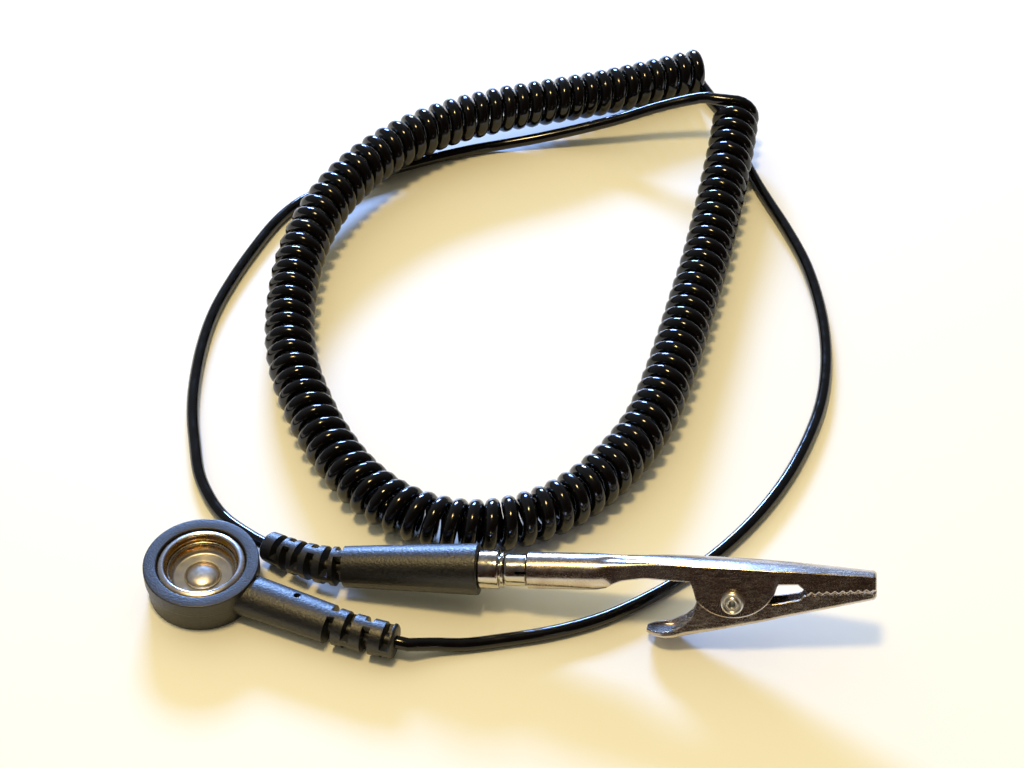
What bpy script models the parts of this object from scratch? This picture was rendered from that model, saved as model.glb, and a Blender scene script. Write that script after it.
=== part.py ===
"""Coiled grounding cord with a 10 mm snap socket at one end, and a banana plug that carries a push-on
alligator clip at the other.

The origin is the centre of the snap head's underside, on the table. +X runs along the plug and the clip,
+Y runs away from them into the loop of the coil, and +Z is up. All lengths are metres.
"""

import math

import bmesh
import bpy
import numpy as np
from mathutils import Matrix, Vector

MM = 0.001
FIT = 0.15 * MM  # clearance between pieces that seat in each other
FACE = 0.3 * MM  # gap between the cord's faces and what they meet

# Snap head
HEAD_DIAMETER = 17.0 * MM
HEAD_HEIGHT = 5.7 * MM
HEAD_STEP_HEIGHT = 2.7 * MM
HEAD_STEP_DEPTH = 0.25 * MM
HEAD_EDGE_RADIUS = 0.5 * MM
CUP_MOUTH_DIAMETER = 10.8 * MM
CUP_RIM_DIAMETER = 13.2 * MM
CUP_SHEET = 0.4 * MM
CUP_FLOOR_HEIGHT = 2.6 * MM
CUP_BEAD_HEIGHT = 4.15 * MM
CUP_BEAD_DEPTH = 0.45 * MM
CUP_RIM_RECESS = 0.1 * MM
BACK_CAP_THICKNESS = 0.6 * MM
RING_WIRE_DIAMETER = 0.6 * MM
RIVET_HEAD_DIAMETER = 5.4 * MM
RIVET_HEAD_RISE = 0.95 * MM
RIVET_SHANK_DIAMETER = 2.4 * MM
RIVET_TAIL_DIAMETER = 3.4 * MM
RIVET_TAIL_THICKNESS = 0.25 * MM
TAG_THICKNESS = 0.2 * MM
TAG_EYE_DIAMETER = 4.6 * MM
TAG_WIDTH = 1.6 * MM

# Arm of the snap head, with the resistor inside it
ARM_YAW = math.radians(-24.0)
ARM_OFFSET = -0.6 * MM  # the arm leaves the ring a little to one side of its centre
ARM_HEIGHT = 2.75 * MM
ARM_LENGTH = 11.7 * MM  # from the rim of the head
ARM_HALF_WIDTHS = (3.4 * MM, 3.1 * MM)
ARM_HALF_HEIGHTS = (2.65 * MM, 2.55 * MM)
PIN_HOLE_DIAMETER = 0.9 * MM
PIN_HOLE_DEPTH = 0.8 * MM
PIN_HOLE_FROM_HEAD = 6.6 * MM
RESISTOR_BODY_DIAMETER = 2.3 * MM
RESISTOR_BODY_LENGTH = 6.0 * MM
RESISTOR_FROM_HEAD = 1.4 * MM
RESISTOR_LEAD_DIAMETER = 0.6 * MM
RESISTOR_LEAD_LENGTH = 1.7 * MM
CRIMP_DIAMETER = 2.1 * MM
CRIMP_BORE = 1.1 * MM
CRIMP_LENGTH = 3.0 * MM
CONDUCTOR_DIAMETER = 0.8 * MM

# Slotted strain reliefs: both are cut the same way
SLOT_WIDTH = 0.95 * MM
SLOT_CORE = 1.4 * MM  # from the cord's axis to the floor of a slot
SNAP_RELIEF_RADII = (2.75 * MM, 2.6 * MM)
SNAP_RELIEF_LENGTH = 11.17 * MM  # along the arm's axis
SNAP_RELIEF_SWAY = 0.94 * MM  # how far the cord pulls its end off that axis
SNAP_RELIEF_RIBS = 4
PLUG_RELIEF_RADII = (2.95 * MM, 2.2 * MM)
PLUG_RELIEF_FROM_HEAD = 2.26 * MM  # its end lies beside the head
PLUG_RELIEF_BEARING = math.radians(36.5)  # seen from the centre of the head
PLUG_RELIEF_HEIGHT = 2.35 * MM
PLUG_RELIEF_RIBS = 6
RELIEF_STIFF_LENGTH = 5.0 * MM  # how far a relief follows its moulding before it bends

# Cord
CORD_DIAMETER = 1.95 * MM
CORD_BORE_DIAMETER = CORD_DIAMETER + 2 * FIT
COIL_DIAMETER = 8.3 * MM
COIL_CURLS = 86
POINTS_PER_CURL = 8

# Plug: its axis starts at the rear of the grip, beside the head, and rises towards the clip
PLUG_FROM_HEAD = Vector((12.15, 0.45, 4.15)) * MM
PLUG_YAW = math.radians(-6.7)
PLUG_RISE = math.radians(6.2)
PLUG_ROLL = math.radians(30.0)
GRIP_LENGTH = 20.3 * MM
GRIP_REAR_RADIUS = 3.0 * MM
GRIP_FRONT_RADIUS = 3.75 * MM
SHOULDER_RADIUS = 2.85 * MM
SHOULDER_LENGTH = 2.9 * MM
FLANGE_RADIUS = 2.6 * MM
FLANGE_LENGTH = 0.45 * MM
GROOVE_LENGTH = 0.25 * MM
PIN_TAIL_RADIUS = 1.5 * MM
PIN_TAIL_LENGTH = 12.0 * MM
PIN_CUP_DEPTH = 3.5 * MM
PIN_CORE_RADIUS = 1.15 * MM
PIN_TIP_LENGTH = 1.2 * MM
CAGE_COLLAR_RADIUS = 2.35 * MM
CAGE_COLLAR_LENGTH = 3.2 * MM
CAGE_LEAF_LENGTH = 11.6 * MM
CAGE_BULGE_RADIUS = 1.9 * MM
CAGE_END_RADIUS = 1.55 * MM
CAGE_SHEET = 0.25 * MM
CAGE_LEAVES = 4
CAGE_SLOT = 0.45 * MM
CAGE_SLOT_REACH = 1.6 * MM  # how far the slots run into the collar
CAGE_SLOT_BEARING = math.radians(82.0)

# Alligator clip, the usual 50 mm size
CLIP_LENGTH = 49.7 * MM
CLIP_SHEET = 0.5 * MM
BARREL_RADIUS = 2.65 * MM
BARREL_LENGTH = 9.6 * MM
PIVOT_FROM_BARREL = 29.5 * MM
PIVOT_DROP = 3.2 * MM
EAR_HALF_WIDTH = 2.95 * MM
NECK_HALF_WIDTH = 2.5 * MM
NOSE_HALF_WIDTH = 1.7 * MM
JAW_GAP = 0.3 * MM
TOOTH_HEIGHT = 0.4 * MM
TOOTH_PITCH = 1.1 * MM
TEETH_START = 40.0 * MM
CLIP_RIVET_RADIUS = 1.0 * MM
CLIP_RIVET_HEAD_RADIUS = 1.7 * MM
CLIP_RIVET_HEAD_RISE = 0.8 * MM
CLIP_RIVET_BORE = 0.68 * MM
SPRING_WIRE = 0.5 * MM
SPRING_RADIUS = 1.75 * MM
SPRING_TURNS = 2.4
SPRING_PITCH = 0.95 * MM

ROUND = 28
SMALL_ROUND = 18


# ---------------------------------------------------------------- helpers

for old in list(bpy.data.objects):
    bpy.data.objects.remove(old, do_unlink=True)


def finish(name, colour, roughness, metallic=0.0):
    """A plain material: base colour, roughness and metallic value."""
    material = bpy.data.materials.new(name)
    material.use_nodes = True
    shader = material.node_tree.nodes["Principled BSDF"]
    shader.inputs["Base Color"].default_value = (*colour, 1.0)
    shader.inputs["Roughness"].default_value = roughness
    shader.inputs["Metallic"].default_value = metallic
    return material


def place(name, data, material, parent=None):
    """Puts mesh or curve data into the scene as one named piece."""
    piece = bpy.data.objects.new(name, data)
    bpy.context.scene.collection.objects.link(piece)
    if material:
        data.materials.append(material)
    piece.parent = parent
    return piece


def anchor(name, matrix, parent=None):
    """An empty that carries pieces made in its own axes."""
    empty = bpy.data.objects.new(name, None)
    bpy.context.scene.collection.objects.link(empty)
    empty.parent = parent
    empty.matrix_local = matrix
    empty.empty_display_size = 3 * MM
    return empty


def smooth(mesh, angle=35.0):
    mesh.shade_smooth()
    mesh.set_sharp_from_angle(angle=math.radians(angle))


def turned(name, profile, material, parent=None, steps=ROUND):
    """A piece turned about its own Z. The profile holds (radius, height) and runs down its outer side.
    It is a closed loop, or it starts and ends on the axis."""
    on_axis = profile[0][0] == 0.0 and profile[-1][0] == 0.0
    count = len(profile)
    edges = [(i, i + 1) for i in range(count - 1)]
    if not on_axis:
        edges.append((count - 1, 0))
    mesh = bpy.data.meshes.new(name)
    mesh.from_pydata([(radius, 0.0, height) for radius, height in profile], edges, [])
    piece = place(name, mesh, material, parent)
    screw = piece.modifiers.new("Turn", "SCREW")
    screw.angle = 2 * math.pi
    screw.steps = steps
    screw.render_steps = steps
    screw.use_merge_vertices = True
    screw.merge_threshold = 0.00001
    screw.use_smooth_shade = True
    return piece


def arc(centre, radius, start, end, count):
    """Points (x, y) along an arc, with angles in degrees from +x."""
    angles = np.radians(np.linspace(start, end, count))
    return [(centre[0] + radius * math.cos(a), centre[1] + radius * math.sin(a)) for a in angles]


def loft(name, rings, material, parent=None, angle=35.0):
    """One closed skin through equal rings of points, with an end face on the first and the last ring.
    The rings go anticlockwise as seen from the last ring."""
    count = len(rings[0])
    form = bmesh.new()
    rows = [[form.verts.new(point) for point in ring] for ring in rings]
    for near, far in zip(rows, rows[1:]):
        for i in range(count):
            j = (i + 1) % count
            form.faces.new((near[i], near[j], far[j], far[i]))
    form.faces.new(rows[0][::-1])
    form.faces.new(rows[-1])
    bmesh.ops.recalc_face_normals(form, faces=form.faces)
    mesh = bpy.data.meshes.new(name)
    form.to_mesh(mesh)
    form.free()
    smooth(mesh, angle)
    return place(name, mesh, material, parent)


def boxes(name, placed):
    """One cutter made of boxes, each given as (matrix, (x, y, z) full sizes)."""
    form = bmesh.new()
    for matrix, size in placed:
        bmesh.ops.create_cube(form, size=1.0, matrix=matrix @ Matrix.Diagonal((*size, 1.0)))
    mesh = bpy.data.meshes.new(name)
    form.to_mesh(mesh)
    form.free()
    return hidden(place(name, mesh, None))


def hidden(piece):
    piece.hide_render = True
    piece.display_type = "WIRE"
    return piece


def combine(piece, other, operation):
    step = piece.modifiers.new(operation.title() + " " + other.name, "BOOLEAN")
    step.operation = operation
    step.solver = "EXACT"
    step.object = other


def path_frame(point, tangent):
    """Axes at a point of a path: X along it, Y level and to its left, Z up from it."""
    along = tangent.normalized()
    left = Vector((0, 0, 1)).cross(along).normalized()
    up = along.cross(left)
    frame = Matrix((along, left, up)).transposed().to_4x4()
    frame.translation = point
    return frame


def bend(start, control, end, share):
    """Point and tangent at a share, 0 to 1, of the curve that leaves start for control and ends at end."""
    point = start * (1 - share) ** 2 + control * 2 * share * (1 - share) + end * share**2
    tangent = (control - start) * 2 * (1 - share) + (end - control) * 2 * share
    return point, tangent


def oval(frame, half_width, half_height, sides=SMALL_ROUND):
    """A ring of points round a path, level axis by upright axis."""
    ring = []
    for i in range(sides):
        a = 2 * math.pi * i / sides
        ring.append(frame @ Vector((0, half_width * math.cos(a), half_height * math.sin(a))))
    return ring


def relief_slots(name, frames, reach, first_upright):
    """Staggered slots: each frame's slot is cut from above and below, or from both sides, in turn."""
    placed = []
    for i, frame in enumerate(frames):
        upright = (i % 2 == 0) == first_upright
        for side in (-1, 1):
            offset = side * (SLOT_CORE + reach / 2)
            shift = (0, 0, offset) if upright else (0, offset, 0)
            size = (SLOT_WIDTH, 2 * reach, reach) if upright else (SLOT_WIDTH, reach, 2 * reach)
            placed.append((frame @ Matrix.Translation(shift), size))
    return boxes(name, placed)


def smooth_route(points, spacing):
    """Evenly spaced points on the smooth curve through the route's own points."""
    points = np.array(points, float)
    padded = np.vstack([2 * points[0] - points[1], points, 2 * points[-1] - points[-2]])
    dense = []
    for a, b, c, d in zip(padded, padded[1:], padded[2:], padded[3:]):
        for t in np.linspace(0, 1, 24, endpoint=False):
            dense.append(
                0.5 * (2 * b + (c - a) * t + (2 * a - 5 * b + 4 * c - d) * t**2)
                + 0.5 * (3 * b - a - 3 * c + d) * t**3
            )
    dense.append(points[-1])
    dense = np.array(dense)
    along = np.concatenate([[0], np.cumsum(np.linalg.norm(np.diff(dense, axis=0), axis=1))])
    count = max(2, round(along[-1] / spacing) + 1)
    wanted = np.linspace(0, along[-1], count)
    return np.column_stack([np.interp(wanted, along, dense[:, k]) for k in range(3)])


def tube(name, points, diameter, material, bevel_resolution, parent=None):
    """A round cord or wire along points, with flat ends."""
    curve = bpy.data.curves.new(name, "CURVE")
    curve.dimensions = "3D"
    curve.bevel_depth = diameter / 2
    curve.bevel_resolution = bevel_resolution
    curve.use_fill_caps = True
    line = curve.splines.new("POLY")
    line.points.add(len(points) - 1)
    line.points.foreach_set("co", np.column_stack([points, np.ones(len(points))]).ravel())
    line.use_smooth = True
    return place(name, curve, material, parent)


black_pvc = finish("glossy_black_pvc", (0.012, 0.012, 0.014), 0.22)
black_moulding = finish("matt_black_moulding", (0.03, 0.032, 0.036), 0.55)
nickel = finish("nickel_plate", (0.62, 0.58, 0.52), 0.25, 1.0)
brass = finish("bright_brass", (0.72, 0.58, 0.36), 0.25, 1.0)
spring_steel = finish("spring_steel", (0.5, 0.5, 0.5), 0.3, 1.0)
copper = finish("tinned_copper", (0.6, 0.5, 0.42), 0.35, 1.0)
resistor_paint = finish("resistor_paint", (0.62, 0.5, 0.36), 0.45)


# ---------------------------------------------------------------- snap head

head_radius = HEAD_DIAMETER / 2
lower_radius = head_radius - HEAD_STEP_DEPTH
cup_outer = CUP_MOUTH_DIAMETER / 2 + CUP_SHEET
cup_top = HEAD_HEIGHT - CUP_RIM_RECESS
bore_radius = cup_outer + FIT
rim_seat_radius = CUP_RIM_DIAMETER / 2 + FIT
rim_seat_height = cup_top - CUP_SHEET - FIT
cap_radius = cup_outer + 0.6 * MM
cap_seat_radius = cap_radius + FIT
cap_seat_height = BACK_CAP_THICKNESS + FIT
relief_from_centre = head_radius + ARM_LENGTH
resistor_start = head_radius + RESISTOR_FROM_HEAD

snap_housing = turned(
    "snap_housing",
    [(rim_seat_radius, HEAD_HEIGHT)]
    + arc(
        (head_radius - HEAD_EDGE_RADIUS, HEAD_HEIGHT - HEAD_EDGE_RADIUS), HEAD_EDGE_RADIUS, 90, 0, 5
    )
    + [
        (head_radius, HEAD_STEP_HEIGHT),
        (lower_radius, HEAD_STEP_HEIGHT - HEAD_STEP_DEPTH),
        (lower_radius, 0.3 * MM),
        (lower_radius - 0.3 * MM, 0.0),
        (cap_seat_radius, 0.0),
        (cap_seat_radius, cap_seat_height),
        (bore_radius, cap_seat_height),
        (bore_radius, rim_seat_height),
        (rim_seat_radius, rim_seat_height),
    ],
    black_moulding,
    steps=40,
)

# Arm and strain relief of the head, swept along the arm and the bend that the cord gives the relief
arm_direction = Vector((math.cos(ARM_YAW), math.sin(ARM_YAW), 0))
arm_left = Vector((-math.sin(ARM_YAW), math.cos(ARM_YAW), 0))


def arm_frame(distance):
    point = arm_direction * distance + arm_left * ARM_OFFSET
    point.z = ARM_HEIGHT
    return path_frame(point, arm_direction)


arm_end = arm_frame(relief_from_centre).translation
snap_relief_bend = arm_frame(relief_from_centre + RELIEF_STIFF_LENGTH).translation
snap_relief_end = arm_frame(relief_from_centre + SNAP_RELIEF_LENGTH).translation
snap_relief_end += arm_left * SNAP_RELIEF_SWAY


def snap_relief(share):
    """Point and direction along the head's strain relief, from the arm to the cord."""
    return bend(arm_end, snap_relief_bend, snap_relief_end, share)


arm_start = rim_seat_radius + 0.1 * MM
rings = []
for share in np.linspace(0, 1, 3):
    distance = arm_start + (relief_from_centre - arm_start) * share
    half_width = ARM_HALF_WIDTHS[0] + (ARM_HALF_WIDTHS[1] - ARM_HALF_WIDTHS[0]) * share
    half_height = ARM_HALF_HEIGHTS[0] + (ARM_HALF_HEIGHTS[1] - ARM_HALF_HEIGHTS[0]) * share
    rings.append(oval(arm_frame(distance), half_width, half_height))
for share in np.linspace(0.06, 1, 5):
    radius = SNAP_RELIEF_RADII[0] + (SNAP_RELIEF_RADII[1] - SNAP_RELIEF_RADII[0]) * share
    rings.append(oval(path_frame(*snap_relief(share)), radius, radius))
arm_body = hidden(loft("snap_arm_form", rings, None))
combine(snap_housing, arm_body, "UNION")

resistor_bore = max(RESISTOR_BODY_DIAMETER, CRIMP_DIAMETER) / 2 + FIT
bore_end = resistor_start + RESISTOR_BODY_LENGTH + RESISTOR_LEAD_LENGTH + CRIMP_LENGTH - 0.6 * MM
rings = [oval(arm_frame(head_radius - 1.2 * MM), resistor_bore, resistor_bore, 16)]
rings.append(oval(arm_frame(bore_end), resistor_bore, resistor_bore, 16))
arm_bore = hidden(loft("arm_bore_cutter", rings, None))
combine(snap_housing, arm_bore, "DIFFERENCE")

cord_bore = CORD_BORE_DIAMETER / 2
rings = [oval(arm_frame(bore_end - 0.3 * MM), cord_bore, cord_bore, 10)]
for share in np.linspace(0.3, 1, 4):
    frame = path_frame(*snap_relief(share))
    rings.append(oval(frame, cord_bore, cord_bore, 10))
rings.append(oval(frame @ Matrix.Translation((2 * MM, 0, 0)), cord_bore, cord_bore, 10))
cord_channel = hidden(loft("arm_cord_cutter", rings, None))
combine(snap_housing, cord_channel, "DIFFERENCE")

slot_frames = [path_frame(*snap_relief((i + 0.15) / SNAP_RELIEF_RIBS)) for i in range(SNAP_RELIEF_RIBS)]
snap_slots = relief_slots("snap_slot_cutter", slot_frames, 3 * SNAP_RELIEF_RADII[0], False)
combine(snap_housing, snap_slots, "DIFFERENCE")

hole_middle = Vector((0, 0.8 * MM, ARM_HALF_HEIGHTS[0] + 1 * MM - PIN_HOLE_DEPTH))
hole_frame = arm_frame(head_radius + PIN_HOLE_FROM_HEAD) @ Matrix.Translation(hole_middle)
pin_hole = boxes("pin_hole_cutter", [(hole_frame, (PIN_HOLE_DIAMETER, PIN_HOLE_DIAMETER, 2 * MM))])
combine(snap_housing, pin_hole, "DIFFERENCE")

tag_level = CUP_FLOOR_HEIGHT - CUP_SHEET - FIT - TAG_THICKNESS / 2
slot_low = tag_level - TAG_THICKNESS / 2 - FIT
slot_high = ARM_HEIGHT + TAG_THICKNESS / 2 + FIT
slot_inner = bore_radius - 0.6 * MM
slot_outer = head_radius + 0.3 * MM
tag_slot_frame = Matrix.Rotation(ARM_YAW, 4, "Z") @ Matrix.Translation(
    ((slot_inner + slot_outer) / 2, ARM_OFFSET, (slot_low + slot_high) / 2)
)
tag_slot = boxes(
    "tag_slot_cutter",
    [(tag_slot_frame, (slot_outer - slot_inner, TAG_WIDTH + 2 * FIT, slot_high - slot_low))],
)
combine(snap_housing, tag_slot, "DIFFERENCE")

snap_back_cap = turned(
    "snap_back_cap",
    [
        (0.0, BACK_CAP_THICKNESS),
        (cap_radius, BACK_CAP_THICKNESS),
        (cap_radius, 0.0),
        (0.0, 0.0),
    ],
    black_moulding,
)

# Drawn cup: a rolled rim on top, a bead half way down that holds the spring ring, and a floor
mouth = CUP_MOUTH_DIAMETER / 2
rivet_hole = RIVET_SHANK_DIAMETER / 2 + FIT
bead_half = 0.45 * MM
snap_socket_cup = turned(
    "snap_socket_cup",
    [
        (mouth, cup_top - 0.15 * MM),
        (mouth + 0.3 * MM, cup_top),
        (CUP_RIM_DIAMETER / 2 - 0.2 * MM, cup_top),
        (CUP_RIM_DIAMETER / 2, cup_top - CUP_SHEET / 2),
        (CUP_RIM_DIAMETER / 2 - 0.2 * MM, cup_top - CUP_SHEET),
        (cup_outer, cup_top - CUP_SHEET),
        (cup_outer, CUP_FLOOR_HEIGHT + 0.3 * MM),
        (cup_outer - 0.5 * MM, CUP_FLOOR_HEIGHT - CUP_SHEET),
        (rivet_hole, CUP_FLOOR_HEIGHT - CUP_SHEET),
        (rivet_hole, CUP_FLOOR_HEIGHT),
        (mouth - 1.1 * MM, CUP_FLOOR_HEIGHT),
        (mouth - 0.7 * MM, CUP_FLOOR_HEIGHT + 0.4 * MM),
        (mouth - 0.7 * MM, CUP_BEAD_HEIGHT - 2 * bead_half),
        (mouth - CUP_BEAD_DEPTH, CUP_BEAD_HEIGHT - bead_half),
        (mouth + 0.1 * MM, CUP_BEAD_HEIGHT - bead_half + 0.1 * MM),
        (mouth + 0.1 * MM, CUP_BEAD_HEIGHT + bead_half - 0.1 * MM),
        (mouth - 0.3 * MM, CUP_BEAD_HEIGHT + bead_half),
        (mouth - 0.3 * MM, cup_top - 0.6 * MM),
    ],
    nickel,
    steps=26,
)

ring_radius = mouth + 0.1 * MM - FIT - RING_WIRE_DIAMETER / 2
ring_open = math.radians(14)
ring_angles = np.linspace(ring_open / 2, 2 * math.pi - ring_open / 2, 22) + ARM_YAW
snap_retaining_ring = tube(
    "snap_retaining_ring",
    np.column_stack(
        [
            ring_radius * np.cos(ring_angles),
            ring_radius * np.sin(ring_angles),
            np.full(len(ring_angles), CUP_BEAD_HEIGHT),
        ]
    ),
    RING_WIRE_DIAMETER,
    spring_steel,
    1,
)

rivet_head_radius = RIVET_HEAD_DIAMETER / 2
rivet_seat = CUP_FLOOR_HEIGHT + FIT
rivet_low = tag_level - TAG_THICKNESS / 2 - FIT / 2 - RIVET_TAIL_THICKNESS
snap_rivet = turned(
    "snap_rivet",
    [
        (0.0, rivet_seat + RIVET_HEAD_RISE),
        (rivet_head_radius * 0.35, rivet_seat + RIVET_HEAD_RISE * 0.96),
        (rivet_head_radius * 0.62, rivet_seat + RIVET_HEAD_RISE * 0.8),
        (rivet_head_radius * 0.86, rivet_seat + RIVET_HEAD_RISE * 0.5),
        (rivet_head_radius, rivet_seat + RIVET_HEAD_RISE * 0.15),
        (rivet_head_radius, rivet_seat),
        (RIVET_SHANK_DIAMETER / 2, rivet_seat),
        (RIVET_SHANK_DIAMETER / 2, rivet_low + RIVET_TAIL_THICKNESS),
        (RIVET_TAIL_DIAMETER / 2, rivet_low + RIVET_TAIL_THICKNESS),
        (RIVET_TAIL_DIAMETER / 2 - 0.1 * MM, rivet_low),
        (0.0, rivet_low),
    ],
    nickel,
    steps=SMALL_ROUND,
)

# Contact tag: an eye under the rivet, and a tongue that climbs into the arm to the resistor
arm_anchor = anchor("arm_axes", Matrix.Rotation(ARM_YAW, 4, "Z"))
tag_eye = TAG_EYE_DIAMETER / 2
contact_tag = turned(
    "contact_tag",
    [
        (rivet_hole, tag_level + TAG_THICKNESS / 2),
        (tag_eye, tag_level + TAG_THICKNESS / 2),
        (tag_eye, tag_level - TAG_THICKNESS / 2),
        (rivet_hole, tag_level - TAG_THICKNESS / 2),
    ],
    brass,
    parent=arm_anchor,
    steps=SMALL_ROUND,
)
tongue_end = resistor_start - RESISTOR_LEAD_LENGTH - FIT
tongue_line = [
    (tag_eye - 0.5 * MM, tag_level),
    (bore_radius + 0.1 * MM, tag_level),
    (head_radius - 1.0 * MM, ARM_HEIGHT - 0.2 * MM),
    (tongue_end, ARM_HEIGHT),
]
rings = []
near, far = ARM_OFFSET - TAG_WIDTH / 2, ARM_OFFSET + TAG_WIDTH / 2
for x, z in tongue_line:
    low, high = z - TAG_THICKNESS / 2, z + TAG_THICKNESS / 2
    rings.append([(x, near, low), (x, far, low), (x, far, high), (x, near, high)])
tongue = hidden(loft("tag_tongue_form", rings, None, arm_anchor))
combine(contact_tag, tongue, "UNION")


def along_arm(distance):
    """Axes for a turned piece that lies in the arm: Z along the arm, from a distance out."""
    return arm_frame(distance) @ Matrix.Rotation(math.pi / 2, 4, "Y")


resistor_axis = anchor("resistor_axis", along_arm(resistor_start))
body = RESISTOR_BODY_DIAMETER / 2
lead = RESISTOR_LEAD_DIAMETER / 2
series_resistor = turned(
    "series_resistor",
    [
        (0.0, RESISTOR_BODY_LENGTH + RESISTOR_LEAD_LENGTH),
        (lead, RESISTOR_BODY_LENGTH + RESISTOR_LEAD_LENGTH),
        (lead, RESISTOR_BODY_LENGTH),
        (body * 0.8, RESISTOR_BODY_LENGTH),
        (body, RESISTOR_BODY_LENGTH - 0.3 * MM),
        (body, RESISTOR_BODY_LENGTH - 1.2 * MM),
        (body * 0.85, RESISTOR_BODY_LENGTH - 1.5 * MM),
        (body * 0.85, 1.5 * MM),
        (body, 1.2 * MM),
        (body, 0.3 * MM),
        (body * 0.8, 0.0),
        (lead, 0.0),
        (lead, -RESISTOR_LEAD_LENGTH),
        (0.0, -RESISTOR_LEAD_LENGTH),
    ],
    resistor_paint,
    parent=resistor_axis,
    steps=12,
)

crimp_start = resistor_start + RESISTOR_BODY_LENGTH + RESISTOR_LEAD_LENGTH - 1.3 * MM
crimp_axis = anchor("crimp_axis", along_arm(crimp_start))
crimp_sleeve = turned(
    "crimp_sleeve",
    [
        (CRIMP_BORE / 2, CRIMP_LENGTH),
        (CRIMP_DIAMETER / 2, CRIMP_LENGTH),
        (CRIMP_DIAMETER / 2, CRIMP_LENGTH * 0.62),
        (CRIMP_DIAMETER / 2 - 0.15 * MM, CRIMP_LENGTH * 0.56),
        (CRIMP_DIAMETER / 2 - 0.15 * MM, CRIMP_LENGTH * 0.44),
        (CRIMP_DIAMETER / 2, CRIMP_LENGTH * 0.38),
        (CRIMP_DIAMETER / 2, 0.0),
        (CRIMP_BORE / 2, 0.0),
    ],
    copper,
    parent=crimp_axis,
    steps=12,
)
conductor_start = crimp_start + CRIMP_LENGTH - 1.3 * MM
sheath_start = crimp_start + CRIMP_LENGTH + 1.2 * MM
snap_end_conductor = tube(
    "snap_end_conductor",
    [arm_frame(conductor_start).translation, arm_frame(sheath_start - FIT).translation],
    CONDUCTOR_DIAMETER,
    copper,
    1,
)
sheath_points = [arm_frame(sheath_start).translation]
for share in np.linspace(0.3, 1, 5):
    sheath_points.append(snap_relief(share)[0])
snap_end_sheath = tube("snap_end_sheath", sheath_points, CORD_DIAMETER, black_pvc, 1)


# ---------------------------------------------------------------- banana plug

plug_direction = Vector(
    (
        math.cos(PLUG_RISE) * math.cos(PLUG_YAW),
        math.cos(PLUG_RISE) * math.sin(PLUG_YAW),
        math.sin(PLUG_RISE),
    )
)
plug_left = Vector((0, 0, 1)).cross(plug_direction).normalized()
plug_up = plug_direction.cross(plug_left)
roll = Matrix.Rotation(-PLUG_ROLL, 3, plug_direction)
clip_up = roll @ plug_up
clip_near = plug_direction.cross(clip_up)
plug_start = PLUG_FROM_HEAD + Vector((head_radius, 0, 0))
plug_matrix = Matrix((clip_up, clip_near, plug_direction)).transposed().to_4x4()
plug_matrix.translation = plug_start
plug_axis = anchor("plug_axis", plug_matrix)

plug_relief_bend = plug_start - plug_direction * RELIEF_STIFF_LENGTH
plug_relief_end = Matrix.Rotation(PLUG_RELIEF_BEARING, 3, "Z") @ Vector(
    (head_radius + PLUG_RELIEF_FROM_HEAD, 0, PLUG_RELIEF_HEIGHT)
)


def plug_relief(share):
    """Point and direction along the plug's strain relief, from the cord to the grip."""
    return bend(plug_relief_end, plug_relief_bend, plug_start, share)


def grip_frame(distance):
    return path_frame(plug_start + plug_direction * distance, plug_direction)


rings = []
for share in np.linspace(0, 0.97, 8):
    radius = PLUG_RELIEF_RADII[1] + (PLUG_RELIEF_RADII[0] - PLUG_RELIEF_RADII[1]) * share**0.7
    rings.append(oval(path_frame(*plug_relief(share)), radius, radius))
for share in np.linspace(0, 1, 5):
    radius = GRIP_REAR_RADIUS + (GRIP_FRONT_RADIUS - GRIP_REAR_RADIUS) * share**0.85
    rings.append(oval(grip_frame((GRIP_LENGTH - 0.25 * MM) * share), radius, radius))
rings.append(oval(grip_frame(GRIP_LENGTH), radius - 0.25 * MM, radius - 0.25 * MM))
plug_grip = loft("plug_grip", rings, black_moulding)

tail_bore = PIN_TAIL_RADIUS + FIT
mouth_frame = path_frame(*plug_relief(0)) @ Matrix.Translation((-2 * MM, 0, 0))
rings = [oval(mouth_frame, cord_bore, cord_bore, 10)]
for share in np.linspace(0, 0.95, 6):
    rings.append(oval(path_frame(*plug_relief(share)), cord_bore, cord_bore, 10))
tail_start = GRIP_LENGTH - PIN_TAIL_LENGTH
rings.append(oval(grip_frame(tail_start - FIT + 0.1 * MM), cord_bore, cord_bore, 10))
combine(plug_grip, hidden(loft("plug_cord_cutter", rings, None)), "DIFFERENCE")
rings = [oval(grip_frame(d), tail_bore, tail_bore, 20) for d in (tail_start - FIT, GRIP_LENGTH + 1 * MM)]
combine(plug_grip, hidden(loft("plug_tail_cutter", rings, None)), "DIFFERENCE")

slot_frames = [path_frame(*plug_relief((i + 0.75) / PLUG_RELIEF_RIBS)) for i in range(PLUG_RELIEF_RIBS)]
plug_slots = relief_slots("plug_slot_cutter", slot_frames, 3 * PLUG_RELIEF_RADII[0], True)
combine(plug_grip, plug_slots, "DIFFERENCE")

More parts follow.
